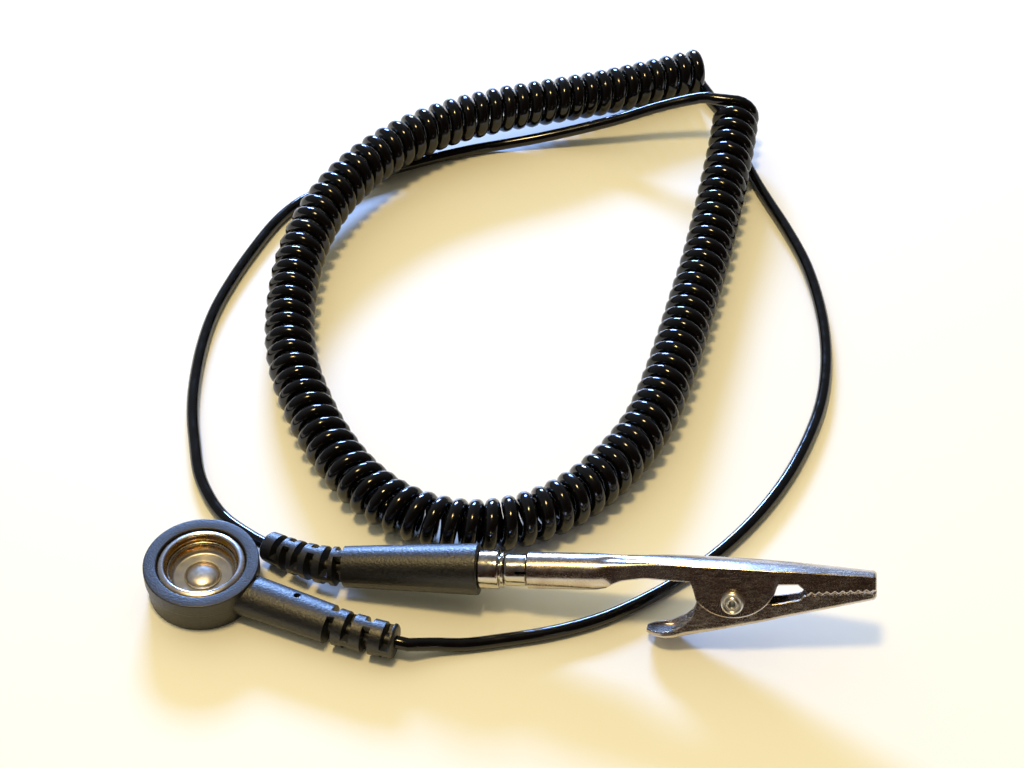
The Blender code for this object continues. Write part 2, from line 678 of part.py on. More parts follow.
# Turned pin: solder cup and tail in the grip, shoulder and flange in front of it, core and tip
shoulder_start = GRIP_LENGTH + FIT
shoulder_end = shoulder_start + SHOULDER_LENGTH
flange_start = shoulder_end + GROOVE_LENGTH
flange_end = flange_start + FLANGE_LENGTH
cage_start = flange_end + FIT
collar_end = cage_start + CAGE_COLLAR_LENGTH
cage_end = collar_end + CAGE_LEAF_LENGTH
pin_end = cage_end + FIT + PIN_TIP_LENGTH
pin_cup = CONDUCTOR_DIAMETER / 2 + FIT
plug_pin = turned(
    "plug_pin",
    [
        (0.0, pin_end),
        (CAGE_END_RADIUS * 0.6, pin_end - 0.1 * MM),
        (CAGE_END_RADIUS, pin_end - PIN_TIP_LENGTH * 0.5),
        (CAGE_END_RADIUS, pin_end - PIN_TIP_LENGTH),
        (PIN_CORE_RADIUS, pin_end - PIN_TIP_LENGTH),
        (PIN_CORE_RADIUS, flange_end),
        (FLANGE_RADIUS - 0.1 * MM, flange_end),
        (FLANGE_RADIUS, flange_end - 0.1 * MM),
        (FLANGE_RADIUS, flange_start),
        (FLANGE_RADIUS - 0.5 * MM, flange_start),
        (FLANGE_RADIUS - 0.5 * MM, shoulder_end),
        (SHOULDER_RADIUS - 0.2 * MM, shoulder_end),
        (SHOULDER_RADIUS, shoulder_end - 0.2 * MM),
        (SHOULDER_RADIUS, shoulder_start),
        (PIN_TAIL_RADIUS, shoulder_start),
        (PIN_TAIL_RADIUS, tail_start),
        (pin_cup, tail_start),
        (pin_cup, tail_start + PIN_CUP_DEPTH),
        (0.0, tail_start + PIN_CUP_DEPTH),
    ],
    nickel,
    parent=plug_axis,
    steps=20,
)

plug_end_conductor = tube(
    "plug_end_conductor",
    [grip_frame(d).translation for d in (tail_start - 2.2 * MM, tail_start + PIN_CUP_DEPTH - 0.6 * MM)],
    CONDUCTOR_DIAMETER,
    copper,
    1,
)
sheath_points = [plug_relief(share)[0] for share in np.linspace(0, 0.95, 7)]
sheath_points.append(grip_frame(tail_start - 2.2 * MM - FIT).translation)
plug_end_sheath = tube("plug_end_sheath", sheath_points, CORD_DIAMETER, black_pvc, 1)

# Leaf cage of the banana plug: a rolled collar, and leaves that bulge out between it and the tip
leaf_outer = []
for share in np.linspace(0, 1, 6):
    height = collar_end + 0.4 * MM + (CAGE_LEAF_LENGTH - 0.9 * MM) * share
    bulge = math.sin(math.pi * share) ** 0.8
    leaf_outer.append((CAGE_END_RADIUS + (CAGE_BULGE_RADIUS - CAGE_END_RADIUS) * bulge, height))
outer = [(CAGE_COLLAR_RADIUS, cage_start), (CAGE_COLLAR_RADIUS, collar_end - 0.2 * MM)] + leaf_outer
outer.append((CAGE_END_RADIUS, cage_end))
inner = [(radius - CAGE_SHEET, height) for radius, height in outer]
inner[1] = (inner[1][0], inner[1][1] - CAGE_SHEET)
plug_spring_cage = turned(
    "plug_spring_cage", outer[::-1] + inner, nickel, parent=plug_axis, steps=20
)
leaf_slots = []
slot_start = collar_end - CAGE_SLOT_REACH
slot_end = leaf_outer[-1][1] - 0.2 * MM
for i in range(CAGE_LEAVES // 2):
    turn = Matrix.Rotation(math.pi * i / (CAGE_LEAVES // 2) + CAGE_SLOT_BEARING, 4, "Z")
    matrix = plug_matrix @ turn @ Matrix.Translation((0, 0, (slot_start + slot_end) / 2))
    leaf_slots.append((matrix, (CAGE_SLOT, 4 * BARREL_RADIUS, slot_end - slot_start)))
leaf_cutter = boxes("leaf_slot_cutter", leaf_slots[:1])
combine(plug_spring_cage, leaf_cutter, "DIFFERENCE")
leaf_cutter = boxes("leaf_slot_cutter_2", leaf_slots[1:])
combine(plug_spring_cage, leaf_cutter, "DIFFERENCE")


# ---------------------------------------------------------------- alligator clip
# The jaws are made in the plug's axes: X up through the jaws, Y across them, Z along the clip.

barrel_start = collar_end + FIT
clip_axes = anchor("clip_axes", Matrix.Translation((0, 0, barrel_start)), plug_axis)
CORNER_FACETS = 3  # facets round each bent corner of the upper jaw's sheet


def arch(half_width, top, edge, corner, facets=CORNER_FACETS):
    """Half of an upside-down channel, from the cheek's free edge up and over to the middle of the web."""
    corner = min(corner, 0.95 * half_width, 0.45 * (top - edge))
    side = [(edge, half_width)]
    for a in np.linspace(0, math.pi / 2, facets + 1):
        side.append((top - corner + corner * math.sin(a), half_width - corner + corner * math.cos(a)))
    side.append((top, 0.0))
    return side


def rolled(radius):
    """Half of a rolled barrel, from just beside its seam below round to the middle of its top. It has as
    many points as an arch."""
    seam = math.radians(8)
    angles = np.linspace(math.pi - seam, 0, CORNER_FACETS + 3)
    return [(radius * math.cos(a), radius * math.sin(a)) for a in angles]


def sheet_ring(height, outer, inner):
    """A closed ring through a bent sheet: its outer skin from one free edge to the other, and its inner
    skin back again. Each skin is given as one half and mirrored."""
    whole_outer = outer + [(x, -y) for x, y in outer[-2::-1]]
    whole_inner = inner + [(x, -y) for x, y in inner[-2::-1]]
    return [Vector((x, y, height)) for x, y in whole_outer + whole_inner[::-1]]


def mix(a, b, share):
    return [(p[0] + (q[0] - p[0]) * share, p[1] + (q[1] - p[1]) * share) for p, q in zip(a, b)]


def through(stations, at):
    """Straight-line reading of a value at a distance along the clip, from (distance, value) pairs."""
    return float(np.interp(at, [s for s, _ in stations], [v for _, v in stations]))


def tooth(at):
    """A saw-tooth wave along the jaw's edge, from 0 to 1."""
    phase = (at - TEETH_START) / TOOTH_PITCH % 1.0
    return 1 - abs(2 * phase - 1)


pivot = PIVOT_FROM_BARREL
ear_radius = 6.6 * MM
ear_centre = 0.95 * MM
upper_top = [
    (0, BARREL_RADIUS),
    (BARREL_LENGTH, BARREL_RADIUS),
    (14 * MM, 2.1 * MM),
    (18 * MM, 1.75 * MM),
    (pivot, 0.95 * MM),
    (CLIP_LENGTH, 0.25 * MM),
]
upper_width = [
    (BARREL_LENGTH, BARREL_RADIUS),
    (17 * MM, NECK_HALF_WIDTH),
    (pivot - 6 * MM, EAR_HALF_WIDTH),
    (pivot + 6 * MM, EAR_HALF_WIDTH),
    (CLIP_LENGTH, NOSE_HALF_WIDTH),
]
upper_edge = [
    (BARREL_LENGTH + 1.6 * MM, -1.6 * MM),
    (BARREL_LENGTH + 4 * MM, -0.6 * MM),
    (17 * MM, -0.15 * MM),
    (pivot - 6.0 * MM, -0.4 * MM),
]
window_edge = -0.8 * MM
bite_line = [(TEETH_START, -2.15 * MM), (CLIP_LENGTH, -1.75 * MM)]
nose_wall = CLIP_LENGTH - CLIP_SHEET


def ear_edge(at):
    """Free edge of the ear: an arc under the pivot."""
    across = min(abs(at - pivot), ear_radius)
    return ear_centre - math.sqrt(ear_radius**2 - across**2)


half_teeth = int((nose_wall - TEETH_START - 0.3 * MM) / (TOOTH_PITCH / 2)) + 1
teeth_stations = [TEETH_START + TOOTH_PITCH / 2 * i for i in range(half_teeth)]
upper_stations = [0, BARREL_LENGTH, BARREL_LENGTH + 0.9 * MM, BARREL_LENGTH + 1.8 * MM]
upper_stations += [BARREL_LENGTH + 2.8 * MM, 14 * MM, 17 * MM, 20 * MM]
upper_stations += [pivot - 6.0 * MM, pivot - 5.2 * MM]
upper_stations += [pivot + x * MM for x in (-4.4, -3.3, -2.2, -1.1, 0, 1.1, 2.2, 3.3, 4.4, 5.4, 6.0)]
upper_stations += [pivot + 6.8 * MM, TEETH_START - 1.4 * MM]
upper_stations += teeth_stations


def upper_free_edge(at):
    if at <= pivot - 6.0 * MM:
        return through(upper_edge, at)
    if at <= pivot + 6.1 * MM:
        return ear_edge(at)
    if at < TEETH_START - 1 * MM:
        return window_edge
    return through(bite_line, at) + JAW_GAP / 2 + TOOTH_HEIGHT * (tooth(at) - 0.5)


def upper_section(at, inset):
    """Half section of the upper jaw's outer skin, or of its inner skin one sheet further in."""
    unrolled = through([(BARREL_LENGTH, 0), (BARREL_LENGTH + 2.8 * MM, 1)], at)
    edge = upper_free_edge(at)
    open_half = arch(
        through(upper_width, at) - inset, through(upper_top, at) - inset, edge, 1.3 * MM - 0.6 * inset
    )
    if unrolled >= 1:
        return open_half
    return mix(rolled(BARREL_RADIUS - inset), open_half, unrolled)


def nose_ring(at, outer, edge):
    """Ring where the inner skin has closed down onto the biting edge, which leaves a solid nose wall."""
    inner = [(edge + (x - edge) * 0.04, y * (1 - CLIP_SHEET / NOSE_HALF_WIDTH)) for x, y in outer]
    return sheet_ring(at, outer, inner)


rings = []
for at in upper_stations:
    rings.append(sheet_ring(at, upper_section(at, 0), upper_section(at, CLIP_SHEET)))
nose_edge = through(bite_line, nose_wall) + JAW_GAP / 2
outer_half = arch(through(upper_width, nose_wall), through(upper_top, nose_wall), nose_edge, 1.0 * MM)
rings.append(nose_ring(nose_wall, outer_half, nose_edge))
outer_half = arch(NOSE_HALF_WIDTH - 0.15 * MM, through(upper_top, CLIP_LENGTH) - 0.1 * MM, nose_edge, 0.9 * MM)
rings.append(nose_ring(CLIP_LENGTH, outer_half, nose_edge))
clip_upper_jaw = loft("clip_upper_jaw", rings, nickel, clip_axes, angle=50)

# Lower jaw: the same channel the other way up, inside the ears, with a spoon-shaped lever behind it
jaw_pivot = anchor("jaw_pivot", Matrix.Translation((-PIVOT_DROP, 0, pivot)), clip_axes)
LEVER_START = 17.0 * MM
cheek_half_width = EAR_HALF_WIDTH - CLIP_SHEET - FIT
lower_floor = [
    (LEVER_START, -8.75 * MM),
    (18.5 * MM, -9.05 * MM),
    (20.5 * MM, -9.1 * MM),
    (22.5 * MM, -8.8 * MM),
    (25 * MM, -8.3 * MM),
    (CLIP_LENGTH, -3.0 * MM),
]
lower_edge = [
    (LEVER_START, -8.15 * MM),
    (18.5 * MM, -8.2 * MM),
    (20.5 * MM, -8.0 * MM),
    (22.5 * MM, -7.0 * MM),
    (23.8 * MM, -5.8 * MM),
    (24.6 * MM, -2.9 * MM),
    (pivot - 1.2 * MM, -1.3 * MM),
    (pivot + 1.2 * MM, -1.3 * MM),
    (pivot + 5.2 * MM, -4.1 * MM),
    (pivot + 6.6 * MM, -3.9 * MM),
    (TEETH_START - 0.6 * MM, -2.9 * MM),
]
lower_width = [
    (LEVER_START, 0.8 * MM),
    (17.5 * MM, 1.6 * MM),
    (18.2 * MM, 2.15 * MM),
    (19.2 * MM, 2.6 * MM),
    (20.8 * MM, 2.75 * MM),
    (23.0 * MM, 2.45 * MM),
    (24.6 * MM, cheek_half_width),
    (pivot + 5 * MM, cheek_half_width),
    (TEETH_START, 2.15 * MM),
    (CLIP_LENGTH, NOSE_HALF_WIDTH),
]


def lower_free_edge(at):
    if at < TEETH_START - 1 * MM:
        return through(lower_edge, at)
    return through(bite_line, at) - JAW_GAP / 2 + TOOTH_HEIGHT * (tooth(at) - 0.5)


def lower_section(at, inset):
    """Half section of the lower jaw: a channel that is open at the top."""
    floor = -through(lower_floor, at) - inset
    half = arch(through(lower_width, at) - inset, floor, -lower_free_edge(at), 1.1 * MM - 0.6 * inset, 2)
    return [(-x, y) for x, y in half]


lower_stations = [x * MM for x in (17.0, 17.3, 17.7, 18.3, 19.2, 20.8, 22.5, 23.8, 24.6, 26.4)]
lower_stations += [pivot + x * MM for x in (-1.2, 1.2, 3.2, 5.2, 6.6)]
lower_stations += [TEETH_START - 1.2 * MM] + teeth_stations
rings = []
for at in lower_stations:
    rings.append(sheet_ring(at, lower_section(at, 0), lower_section(at, CLIP_SHEET)))
nose_edge = through(bite_line, nose_wall) - JAW_GAP / 2
for at, half_width in ((nose_wall, NOSE_HALF_WIDTH + 0.04 * MM), (CLIP_LENGTH, NOSE_HALF_WIDTH - 0.15 * MM)):
    half = arch(half_width, -through(lower_floor, at), -nose_edge, 0.5 * MM, 2)
    rings.append(nose_ring(at, [(-x, y) for x, y in half], nose_edge))
about_pivot = Matrix.Translation((PIVOT_DROP, 0, -pivot))
rings = [[about_pivot @ point for point in ring] for ring in rings]
clip_lower_jaw = loft("clip_lower_jaw", rings, nickel, jaw_pivot, angle=50)

# Rivet holes through both pairs of cheeks, and the tubular rivet in them
rivet_axes = anchor("rivet_axes", Matrix.Rotation(-math.pi / 2, 4, "X"), jaw_pivot)
hole_half = EAR_HALF_WIDTH + 2 * MM
hole = turned(
    "rivet_hole_cutter",
    [
        (0.0, hole_half),
        (CLIP_RIVET_RADIUS + FIT, hole_half),
        (CLIP_RIVET_RADIUS + FIT, -hole_half),
        (0.0, -hole_half),
    ],
    None,
    parent=rivet_axes,
    steps=SMALL_ROUND,
)
hidden(hole)
combine(clip_upper_jaw, hole, "DIFFERENCE")
combine(clip_lower_jaw, hole, "DIFFERENCE")
head_seat = EAR_HALF_WIDTH + FIT
head_top = head_seat + CLIP_RIVET_HEAD_RISE
rivet_side = [
    (CLIP_RIVET_BORE, head_top - 0.25 * MM),
    (CLIP_RIVET_BORE + 0.25 * MM, head_top),
    (CLIP_RIVET_HEAD_RADIUS - 0.45 * MM, head_top),
    (CLIP_RIVET_HEAD_RADIUS - 0.1 * MM, head_top - 0.25 * MM),
    (CLIP_RIVET_HEAD_RADIUS, head_seat),
    (CLIP_RIVET_RADIUS, head_seat),
]
clip_rivet = turned(
    "clip_rivet",
    rivet_side + [(radius, -height) for radius, height in rivet_side[::-1]],
    nickel,
    parent=rivet_axes,
    steps=SMALL_ROUND,
)

# Torsion spring round the rivet: one leg under the neck, one on the lever
spring_span = SPRING_TURNS * SPRING_PITCH
turns = np.linspace(0, SPRING_TURNS, round(SPRING_TURNS * 8) + 1)
spring_angle = math.radians(15.5) + 2 * math.pi * turns
spring_points = [
    (SPRING_RADIUS * math.cos(a), SPRING_PITCH * t - spring_span / 2, SPRING_RADIUS * math.sin(a))
    for a, t in zip(spring_angle, turns)
]
first_leg = [(3.75 * MM, -spring_span / 2, -7.2 * MM), (2.7 * MM, -spring_span / 2, -3.3 * MM)]
last_leg = [(-3.1 * MM, spring_span / 2, -4.3 * MM), (-4.9 * MM, spring_span / 2, -8.8 * MM)]
clip_spring = tube(
    "clip_spring", first_leg + spring_points + last_leg, SPRING_WIRE, spring_steel, 1, jaw_pivot
)


# ---------------------------------------------------------------- cord

COIL_ROUTE = [
    (80.2, 119.9, 4.2),
    (70.6, 115.9, 4.5),
    (61.3, 111.7, 5.3),
    (52.3, 108.4, 6.0),
    (43.2, 105.4, 6.4),
    (34.6, 101.8, 6.5),
    (27.2, 97.0, 6.5),
    (20.9, 90.7, 6.5),
    (15.9, 83.5, 6.3),
    (12.4, 76.0, 5.8),
    (10.2, 68.2, 5.1),
    (9.3, 60.3, 4.5),
    (9.3, 51.5, 4.25),
    (10.4, 43.0, 4.2),
    (12.9, 34.8, 4.2),
    (16.6, 26.2, 4.2),
    (21.6, 18.2, 4.2),
    (27.8, 12.2, 4.2),
    (35.0, 8.9, 4.2),
    (42.2, 8.4, 4.2),
    (49.5, 10.6, 4.2),
    (55.8, 14.9, 4.2),
    (61.8, 21.5, 4.2),
    (66.6, 29.5, 4.2),
    (69.9, 38.5, 4.2),
    (72.6, 47.8, 4.2),
    (75.3, 57.9, 4.2),
    (77.9, 67.8, 4.25),
    (80.2, 77.9, 4.5),
    (82.3, 87.6, 5.3),
    (84.1, 96.2, 6.1),
    (85.4, 103.9, 6.6),
]
coil_route = smooth_route(np.array(COIL_ROUTE) * MM, 0.5 * MM)
winding_radius = (COIL_DIAMETER - CORD_DIAMETER) / 2


def coil_centre_line():
    """Points of the wound cord. The winding's axis follows the route, and the cord turns about it from
    the bottom of the first curl to the top of the last. Each end runs on straight for one diameter."""
    steps = COIL_CURLS * POINTS_PER_CURL + POINTS_PER_CURL // 2
    reach = np.linalg.norm(np.diff(coil_route, axis=0), axis=1)
    along = np.concatenate([[0], np.cumsum(reach)])
    share = np.linspace(0, 1, steps + 1)
    # The curls lie a little closer at the first end than at the last.
    place_along = along[-1] * (0.91 * share + 0.09 * share**2)
    centre = np.column_stack([np.interp(place_along, along, coil_route[:, k]) for k in range(3)])
    ahead = np.column_stack([np.interp(place_along + 1 * MM, along, coil_route[:, k]) for k in range(3)])
    behind = np.column_stack([np.interp(place_along - 1 * MM, along, coil_route[:, k]) for k in range(3)])
    axis = ahead - behind
    axis /= np.linalg.norm(axis, axis=1)[:, None]
    side = np.cross(axis, [0, 0, 1])
    side /= np.linalg.norm(side, axis=1)[:, None]
    up = np.cross(side, axis)
    angle = (2 * math.pi / POINTS_PER_CURL * np.arange(steps + 1))[:, None]
    wound = centre + winding_radius * (side * np.sin(angle) - up * np.cos(angle))
    first = wound[0] - side[0] * CORD_DIAMETER
    last = wound[-1] - side[-1] * CORD_DIAMETER
    return np.vstack([first, wound, last]), side[0], side[-1]


coil_points, first_side, last_side = coil_centre_line()


def least_gap_to_itself(points, diameter):
    """Smallest clear distance between two parts of the cord that are more than half a curl apart."""
    least = math.inf
    fine = np.vstack([points[:-1] + (points[1:] - points[:-1]) * t for t in (0, 0.5)])
    order = np.concatenate([np.arange(len(points) - 1) + t for t in (0, 0.5)])
    fine = fine[np.argsort(order)]
    skip = POINTS_PER_CURL
    for i in range(0, len(fine) - skip):
        apart = np.linalg.norm(fine[i + skip : i + 6 * skip] - fine[i], axis=1)
        if len(apart):
            least = min(least, apart.min())
    return least - diameter


coil_gap = least_gap_to_itself(coil_points, CORD_DIAMETER)
print(f"least gap of the coil to itself: {coil_gap / MM:.2f} mm")
cord_coil = tube("cord_coil", coil_points, CORD_DIAMETER, black_pvc, 1)

SNAP_SIDE_ROUTE = [
    (34.3, -12.1, 1.8),
    (38.7, -11.6, 1.1),
    (43.7, -10.8, 1.05),
    (50.9, -9.4, 1.05),
    (58.0, -7.0, 1.05),
    (64.6, -3.4, 1.05),
    (71.2, 1.3, 1.05),
    (77.2, 6.8, 1.05),
    (82.8, 13.4, 1.05),
    (87.6, 20.7, 1.05),
    (91.4, 28.4, 1.05),
    (94.4, 36.6, 1.05),
    (96.1, 45.0, 1.05),
    (96.7, 53.6, 1.05),
    (96.3, 62.2, 1.05),
    (95.0, 70.9, 1.05),
    (92.6, 79.4, 1.05),
    (90.0, 86.9, 1.05),
    (88.0, 93.2, 1.05),
    (86.6, 99.0, 1.05),
    (85.8, 104.6, 1.05),
    (84.6, 109.8, 1.05),
    (82.6, 114.0, 1.05),
]
PLUG_SIDE_ROUTE = [
    (78.9, 105.1, 9.3),
    (71.8, 104.9, 7.5),
    (64.7, 104.2, 5.3),
    (57.4, 103.5, 3.5),
    (50.0, 102.8, 2.0),
    (43.3, 101.9, 1.2),
    (37.6, 100.5, 1.05),
    (32.0, 98.5, 1.05),
    (26.0, 96.0, 1.05),
    (20.0, 93.2, 1.05),
    (14.2, 90.2, 1.05),
    (8.9, 86.6, 1.05),
    (4.9, 81.4, 1.05),
    (1.4, 74.0, 1.05),
    (-1.7, 65.9, 1.05),
    (-4.0, 58.0, 1.05),
    (-5.2, 49.6, 1.05),
    (-5.5, 41.0, 1.05),
    (-5.1, 34.4, 1.05),
    (-4.2, 28.6, 1.05),
    (-2.9, 22.0, 1.05),
    (-0.8, 16.9, 1.05),
    (1.6, 13.1, 1.1),
    (4.1, 10.3, 1.6),
]


def cord_stretch(name, start, start_direction, route, end, end_direction):
    """A free stretch: it leaves its start and reaches its end square to what it meets."""
    lead = 0.8 * CORD_DIAMETER
    free = [start + start_direction * (FACE + lead)]
    free += [Vector(point) * MM for point in route]
    free += [end - end_direction * (FACE + lead)]
    points = smooth_route(free, 3 * CORD_DIAMETER)
    points = np.vstack([start + start_direction * FACE, points, end - end_direction * FACE])
    return tube(name, points, CORD_DIAMETER, black_pvc, 2)


snap_exit_point, snap_exit = snap_relief(1)
plug_exit_point, plug_exit = plug_relief(0)
cord_stretch(
    "cord_snap_side",
    snap_exit_point,
    snap_exit.normalized(),
    SNAP_SIDE_ROUTE,
    Vector(coil_points[0]),
    Vector(first_side),
)
cord_stretch(
    "cord_plug_side",
    Vector(coil_points[-1]),
    Vector(-last_side),
    PLUG_SIDE_ROUTE,
    plug_exit_point,
    plug_exit.normalized(),
)
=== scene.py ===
"""Looks of a coiled grounding cord: snap head, coiled cord, banana plug and push-on alligator clip.

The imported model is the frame, in metres: the snap head's underside is at the origin, +X runs along the
plug and the clip, +Y into the loop of the coil, and +Z up.
"""

import math

import bpy
import numpy as np
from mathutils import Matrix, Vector


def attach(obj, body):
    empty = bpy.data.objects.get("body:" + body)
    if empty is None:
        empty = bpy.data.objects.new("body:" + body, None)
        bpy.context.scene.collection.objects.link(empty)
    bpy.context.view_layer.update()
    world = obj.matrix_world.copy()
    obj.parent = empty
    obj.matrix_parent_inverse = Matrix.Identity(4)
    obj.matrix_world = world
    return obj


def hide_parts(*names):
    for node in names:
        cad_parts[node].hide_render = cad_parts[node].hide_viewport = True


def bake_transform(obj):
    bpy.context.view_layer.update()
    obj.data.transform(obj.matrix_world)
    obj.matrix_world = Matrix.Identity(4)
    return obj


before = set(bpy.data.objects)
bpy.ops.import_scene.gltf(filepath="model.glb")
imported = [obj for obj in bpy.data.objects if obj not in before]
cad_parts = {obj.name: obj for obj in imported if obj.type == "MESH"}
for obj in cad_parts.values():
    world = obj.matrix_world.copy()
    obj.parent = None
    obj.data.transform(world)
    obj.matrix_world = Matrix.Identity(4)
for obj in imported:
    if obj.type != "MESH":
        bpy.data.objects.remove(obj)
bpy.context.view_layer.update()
MM = 0.001


# ---------------------------------------------------------------- Table, light and camera
# A pale, slightly shiny table top. A low cool window behind it draws the long yellow shadows, and a warm
# lamp almost overhead the short blue ones. The dark room in front shows in the clip's flat cheeks, and a
# small far doorway on the right glints on their edges.


def linear(code):
    """sRGB hex to linear colour: each channel c is c / 12.92, or ((c + 0.055) / 1.055) to the power 2.4."""
    channels = np.array([int(code[i : i + 2], 16) for i in (1, 3, 5)]) / 255
    bent = np.where(channels <= 0.04045, channels / 12.92, ((channels + 0.055) / 1.055) ** 2.4)
    return (*bent.tolist(), 1.0)


def add(tree, kind, values=None, **settings):
    """Adds one node with its settings. values gives its inputs, each a number, a colour or an output."""
    made = tree.nodes.new(kind)
    for key, value in settings.items():
        setattr(made, key, value)
    for key, value in (values or {}).items():
        if isinstance(value, bpy.types.NodeSocket):
            tree.links.new(value, made.inputs[key])
        else:
            made.inputs[key].default_value = value
    return made


def finish(name, colour, roughness, metallic=0.0):
    """A material with its Principled shader, and the tree to add the rest of the finish to."""
    material = bpy.data.materials.new(name)
    material.use_nodes = True
    shader = material.node_tree.nodes["Principled BSDF"]
    shader.inputs["Base Color"].default_value = linear(colour)
    shader.inputs["Roughness"].default_value = roughness
    shader.inputs["Metallic"].default_value = metallic
    return material, material.node_tree, shader


table_top, tree, shader = finish("satin_laminate", "#f1efec", 0.4)
shader.inputs["Specular IOR Level"].default_value = 0.3
table_mesh = bpy.data.meshes.new("table_top")
table_mesh.from_pydata([(-1.5, -1.5, 0), (1.6, -1.5, 0), (1.6, 1.7, 0), (-1.5, 1.7, 0)], [], [(0, 1, 2, 3)])
table_mesh.materials.append(table_top)
table = bpy.data.objects.new("table_top", table_mesh)
bpy.context.scene.collection.objects.link(table)


def lamp(name, place, target, size, power, colour):
    """An area lamp that looks from its place at its target."""
    light = bpy.data.lights.new(name, "AREA")
    light.shape = "RECTANGLE"
    light.size, light.size_y = size
    light.energy = power
    light.color = linear(colour)[:3]
    holder = bpy.data.objects.new(name, light)
    holder.location = place
    holder.rotation_euler = (Vector(target) - Vector(place)).to_track_quat("-Z", "Y").to_euler()
    bpy.context.scene.collection.objects.link(holder)


middle = (0.045, 0.045, 0.0)
lamp("window", (-0.07, 1.0, 0.365), middle, (0.30, 0.14), 18.0, "#93bbff")
lamp("ceiling_lamp", (-0.06, -0.02, 0.88), middle, (0.14, 0.14), 4.05, "#ffe098")
lamp("far_doorway", (0.45, -0.85, 0.17), middle, (0.08, 0.08), 0.08, "#fff6ea")

# The room: pale behind on the left and dark in front, and darker still where it is mirrored. What the
# camera sees of it is white.
world = bpy.data.worlds.new("room")
world.use_nodes = True
bpy.context.scene.world = world
tree = world.node_tree
background = tree.nodes["Background"]
rays = add(tree, "ShaderNodeLightPath")
looking = add(tree, "ShaderNodeTexCoord").outputs["Generated"]
backwards = add(tree, "ShaderNodeVectorMath", {0: looking, 1: (-0.45, 0.9, 0.0)}, operation="DOT_PRODUCT")
backwards = add(tree, "ShaderNodeMapRange", {0: backwards.outputs["Value"], 1: -0.6, 2: 0.9}).outputs[0]
mirrored = {0: backwards, 6: linear("#281b16"), 7: linear("#6c7077")}
mirrored = add(tree, "ShaderNodeMix", mirrored, data_type="RGBA").outputs[2]
spread = {0: backwards, 6: linear("#443d30"), 7: linear("#fffad3")}
spread = add(tree, "ShaderNodeMix", spread, data_type="RGBA").outputs[2]
indoors = {0: rays.outputs["Is Glossy Ray"], 6: spread, 7: mirrored}
indoors = add(tree, "ShaderNodeMix", indoors, data_type="RGBA").outputs[2]
seen = {0: rays.outputs["Is Camera Ray"], 1: rays.outputs["Is Transmission Ray"]}
seen = add(tree, "ShaderNodeMath", seen, operation="MAXIMUM").outputs[0]
light = add(tree, "ShaderNodeMix", {0: seen, 6: indoors, 7: linear("#ffffff")}, data_type="RGBA").outputs[2]
tree.links.new(light, background.inputs["Color"])
background.inputs["Strength"].default_value = 1.35

view = bpy.data.cameras.new("photo_view")
view.lens = 79.35
view.sensor_width = 36.0
view.clip_start = 0.01
camera = bpy.data.objects.new("photo_view", view)
camera.location = (0.04541, -0.21454, 0.257)
camera.rotation_euler = (math.radians(45.0), 0.0, 0.0)
bpy.context.scene.collection.objects.link(camera)
bpy.context.scene.camera = camera
bpy.context.scene.view_settings.view_transform = "Standard"


# ---------------------------------------------------------------- Cord
# One black PVC cord 1.95 mm thick, drawn over fine strands. Its middle was wound on a rod and heated, so
# that it swelled a little and stays in 97 close curls. Each end runs on straight into its moulding.

CORD_RADIUS = 0.975 * MM
CURLED_RADIUS = 1.16 * MM  # of the cord itself, where the heat has swollen it
COIL_RADIUS = 2.99 * MM  # of the cord's middle line, in a curl
CURLS = 97
CURL_SPACING = [  # (distance along the coil, spacing of the curls there) in mm
    (0, 2.75), (36, 2.56), (80, 2.95), (116, 3.2), (148, 2.86), (174, 2.7), (204, 2.93),
    (222, 2.79), (250, 3.08), (280, 3.0),
]
PER_CURL = 20  # stations in one curl
SIDES = 14  # of the cord's section
LEAD = 1.86 * MM  # from the end of a moulding or of the coil to the first point of the free stretch
# Middle lines in mm: of the coil, and of the free stretches from the snap head and to the plug
COIL_ROUTE = [
    (80.2, 119.9, 4.2), (70.6, 115.9, 4.5), (61.3, 111.7, 5.3), (52.3, 108.4, 6.0), (43.2, 105.4, 6.4),
    (34.6, 101.8, 6.5), (27.2, 97.0, 6.5), (20.9, 90.7, 6.5), (15.9, 83.5, 6.3), (12.4, 76.0, 5.8),
    (10.2, 68.2, 5.1), (9.3, 60.3, 4.5), (9.3, 51.5, 4.25), (10.4, 43.0, 4.2), (12.9, 34.8, 4.2),
    (16.6, 26.2, 4.2), (21.6, 18.2, 4.2), (27.8, 12.2, 4.2), (35.0, 8.9, 4.2), (42.2, 8.4, 4.2),
    (49.5, 10.6, 4.2), (55.8, 14.9, 4.2), (61.8, 21.5, 4.2), (66.6, 29.5, 4.2), (69.9, 38.5, 4.2),
    (72.6, 47.8, 4.2), (75.3, 57.9, 4.2), (77.9, 67.8, 4.25), (80.2, 77.9, 4.5), (82.3, 87.6, 5.3),
    (84.1, 96.2, 6.1), (85.4, 103.9, 6.6),
]
SNAP_SIDE_ROUTE = [
    (34.3, -12.1, 1.8), (38.7, -11.6, 1.1), (43.7, -10.8, 1.05), (50.9, -9.4, 1.05), (58.0, -7.0, 1.05),
    (64.6, -3.4, 1.05), (71.2, 1.3, 1.05), (77.2, 6.8, 1.05), (82.8, 13.4, 1.05), (87.6, 20.7, 1.05),
    (91.4, 28.4, 1.05), (94.4, 36.6, 1.05), (96.1, 45.0, 1.05), (96.7, 53.6, 1.05), (96.3, 62.2, 1.05),
    (95.0, 70.9, 1.05), (92.6, 79.4, 1.05), (90.0, 86.9, 1.05), (88.0, 93.2, 1.05), (86.6, 99.0, 1.05),
    (85.8, 104.6, 1.05), (84.6, 109.8, 1.05), (82.6, 114.0, 1.05),
]
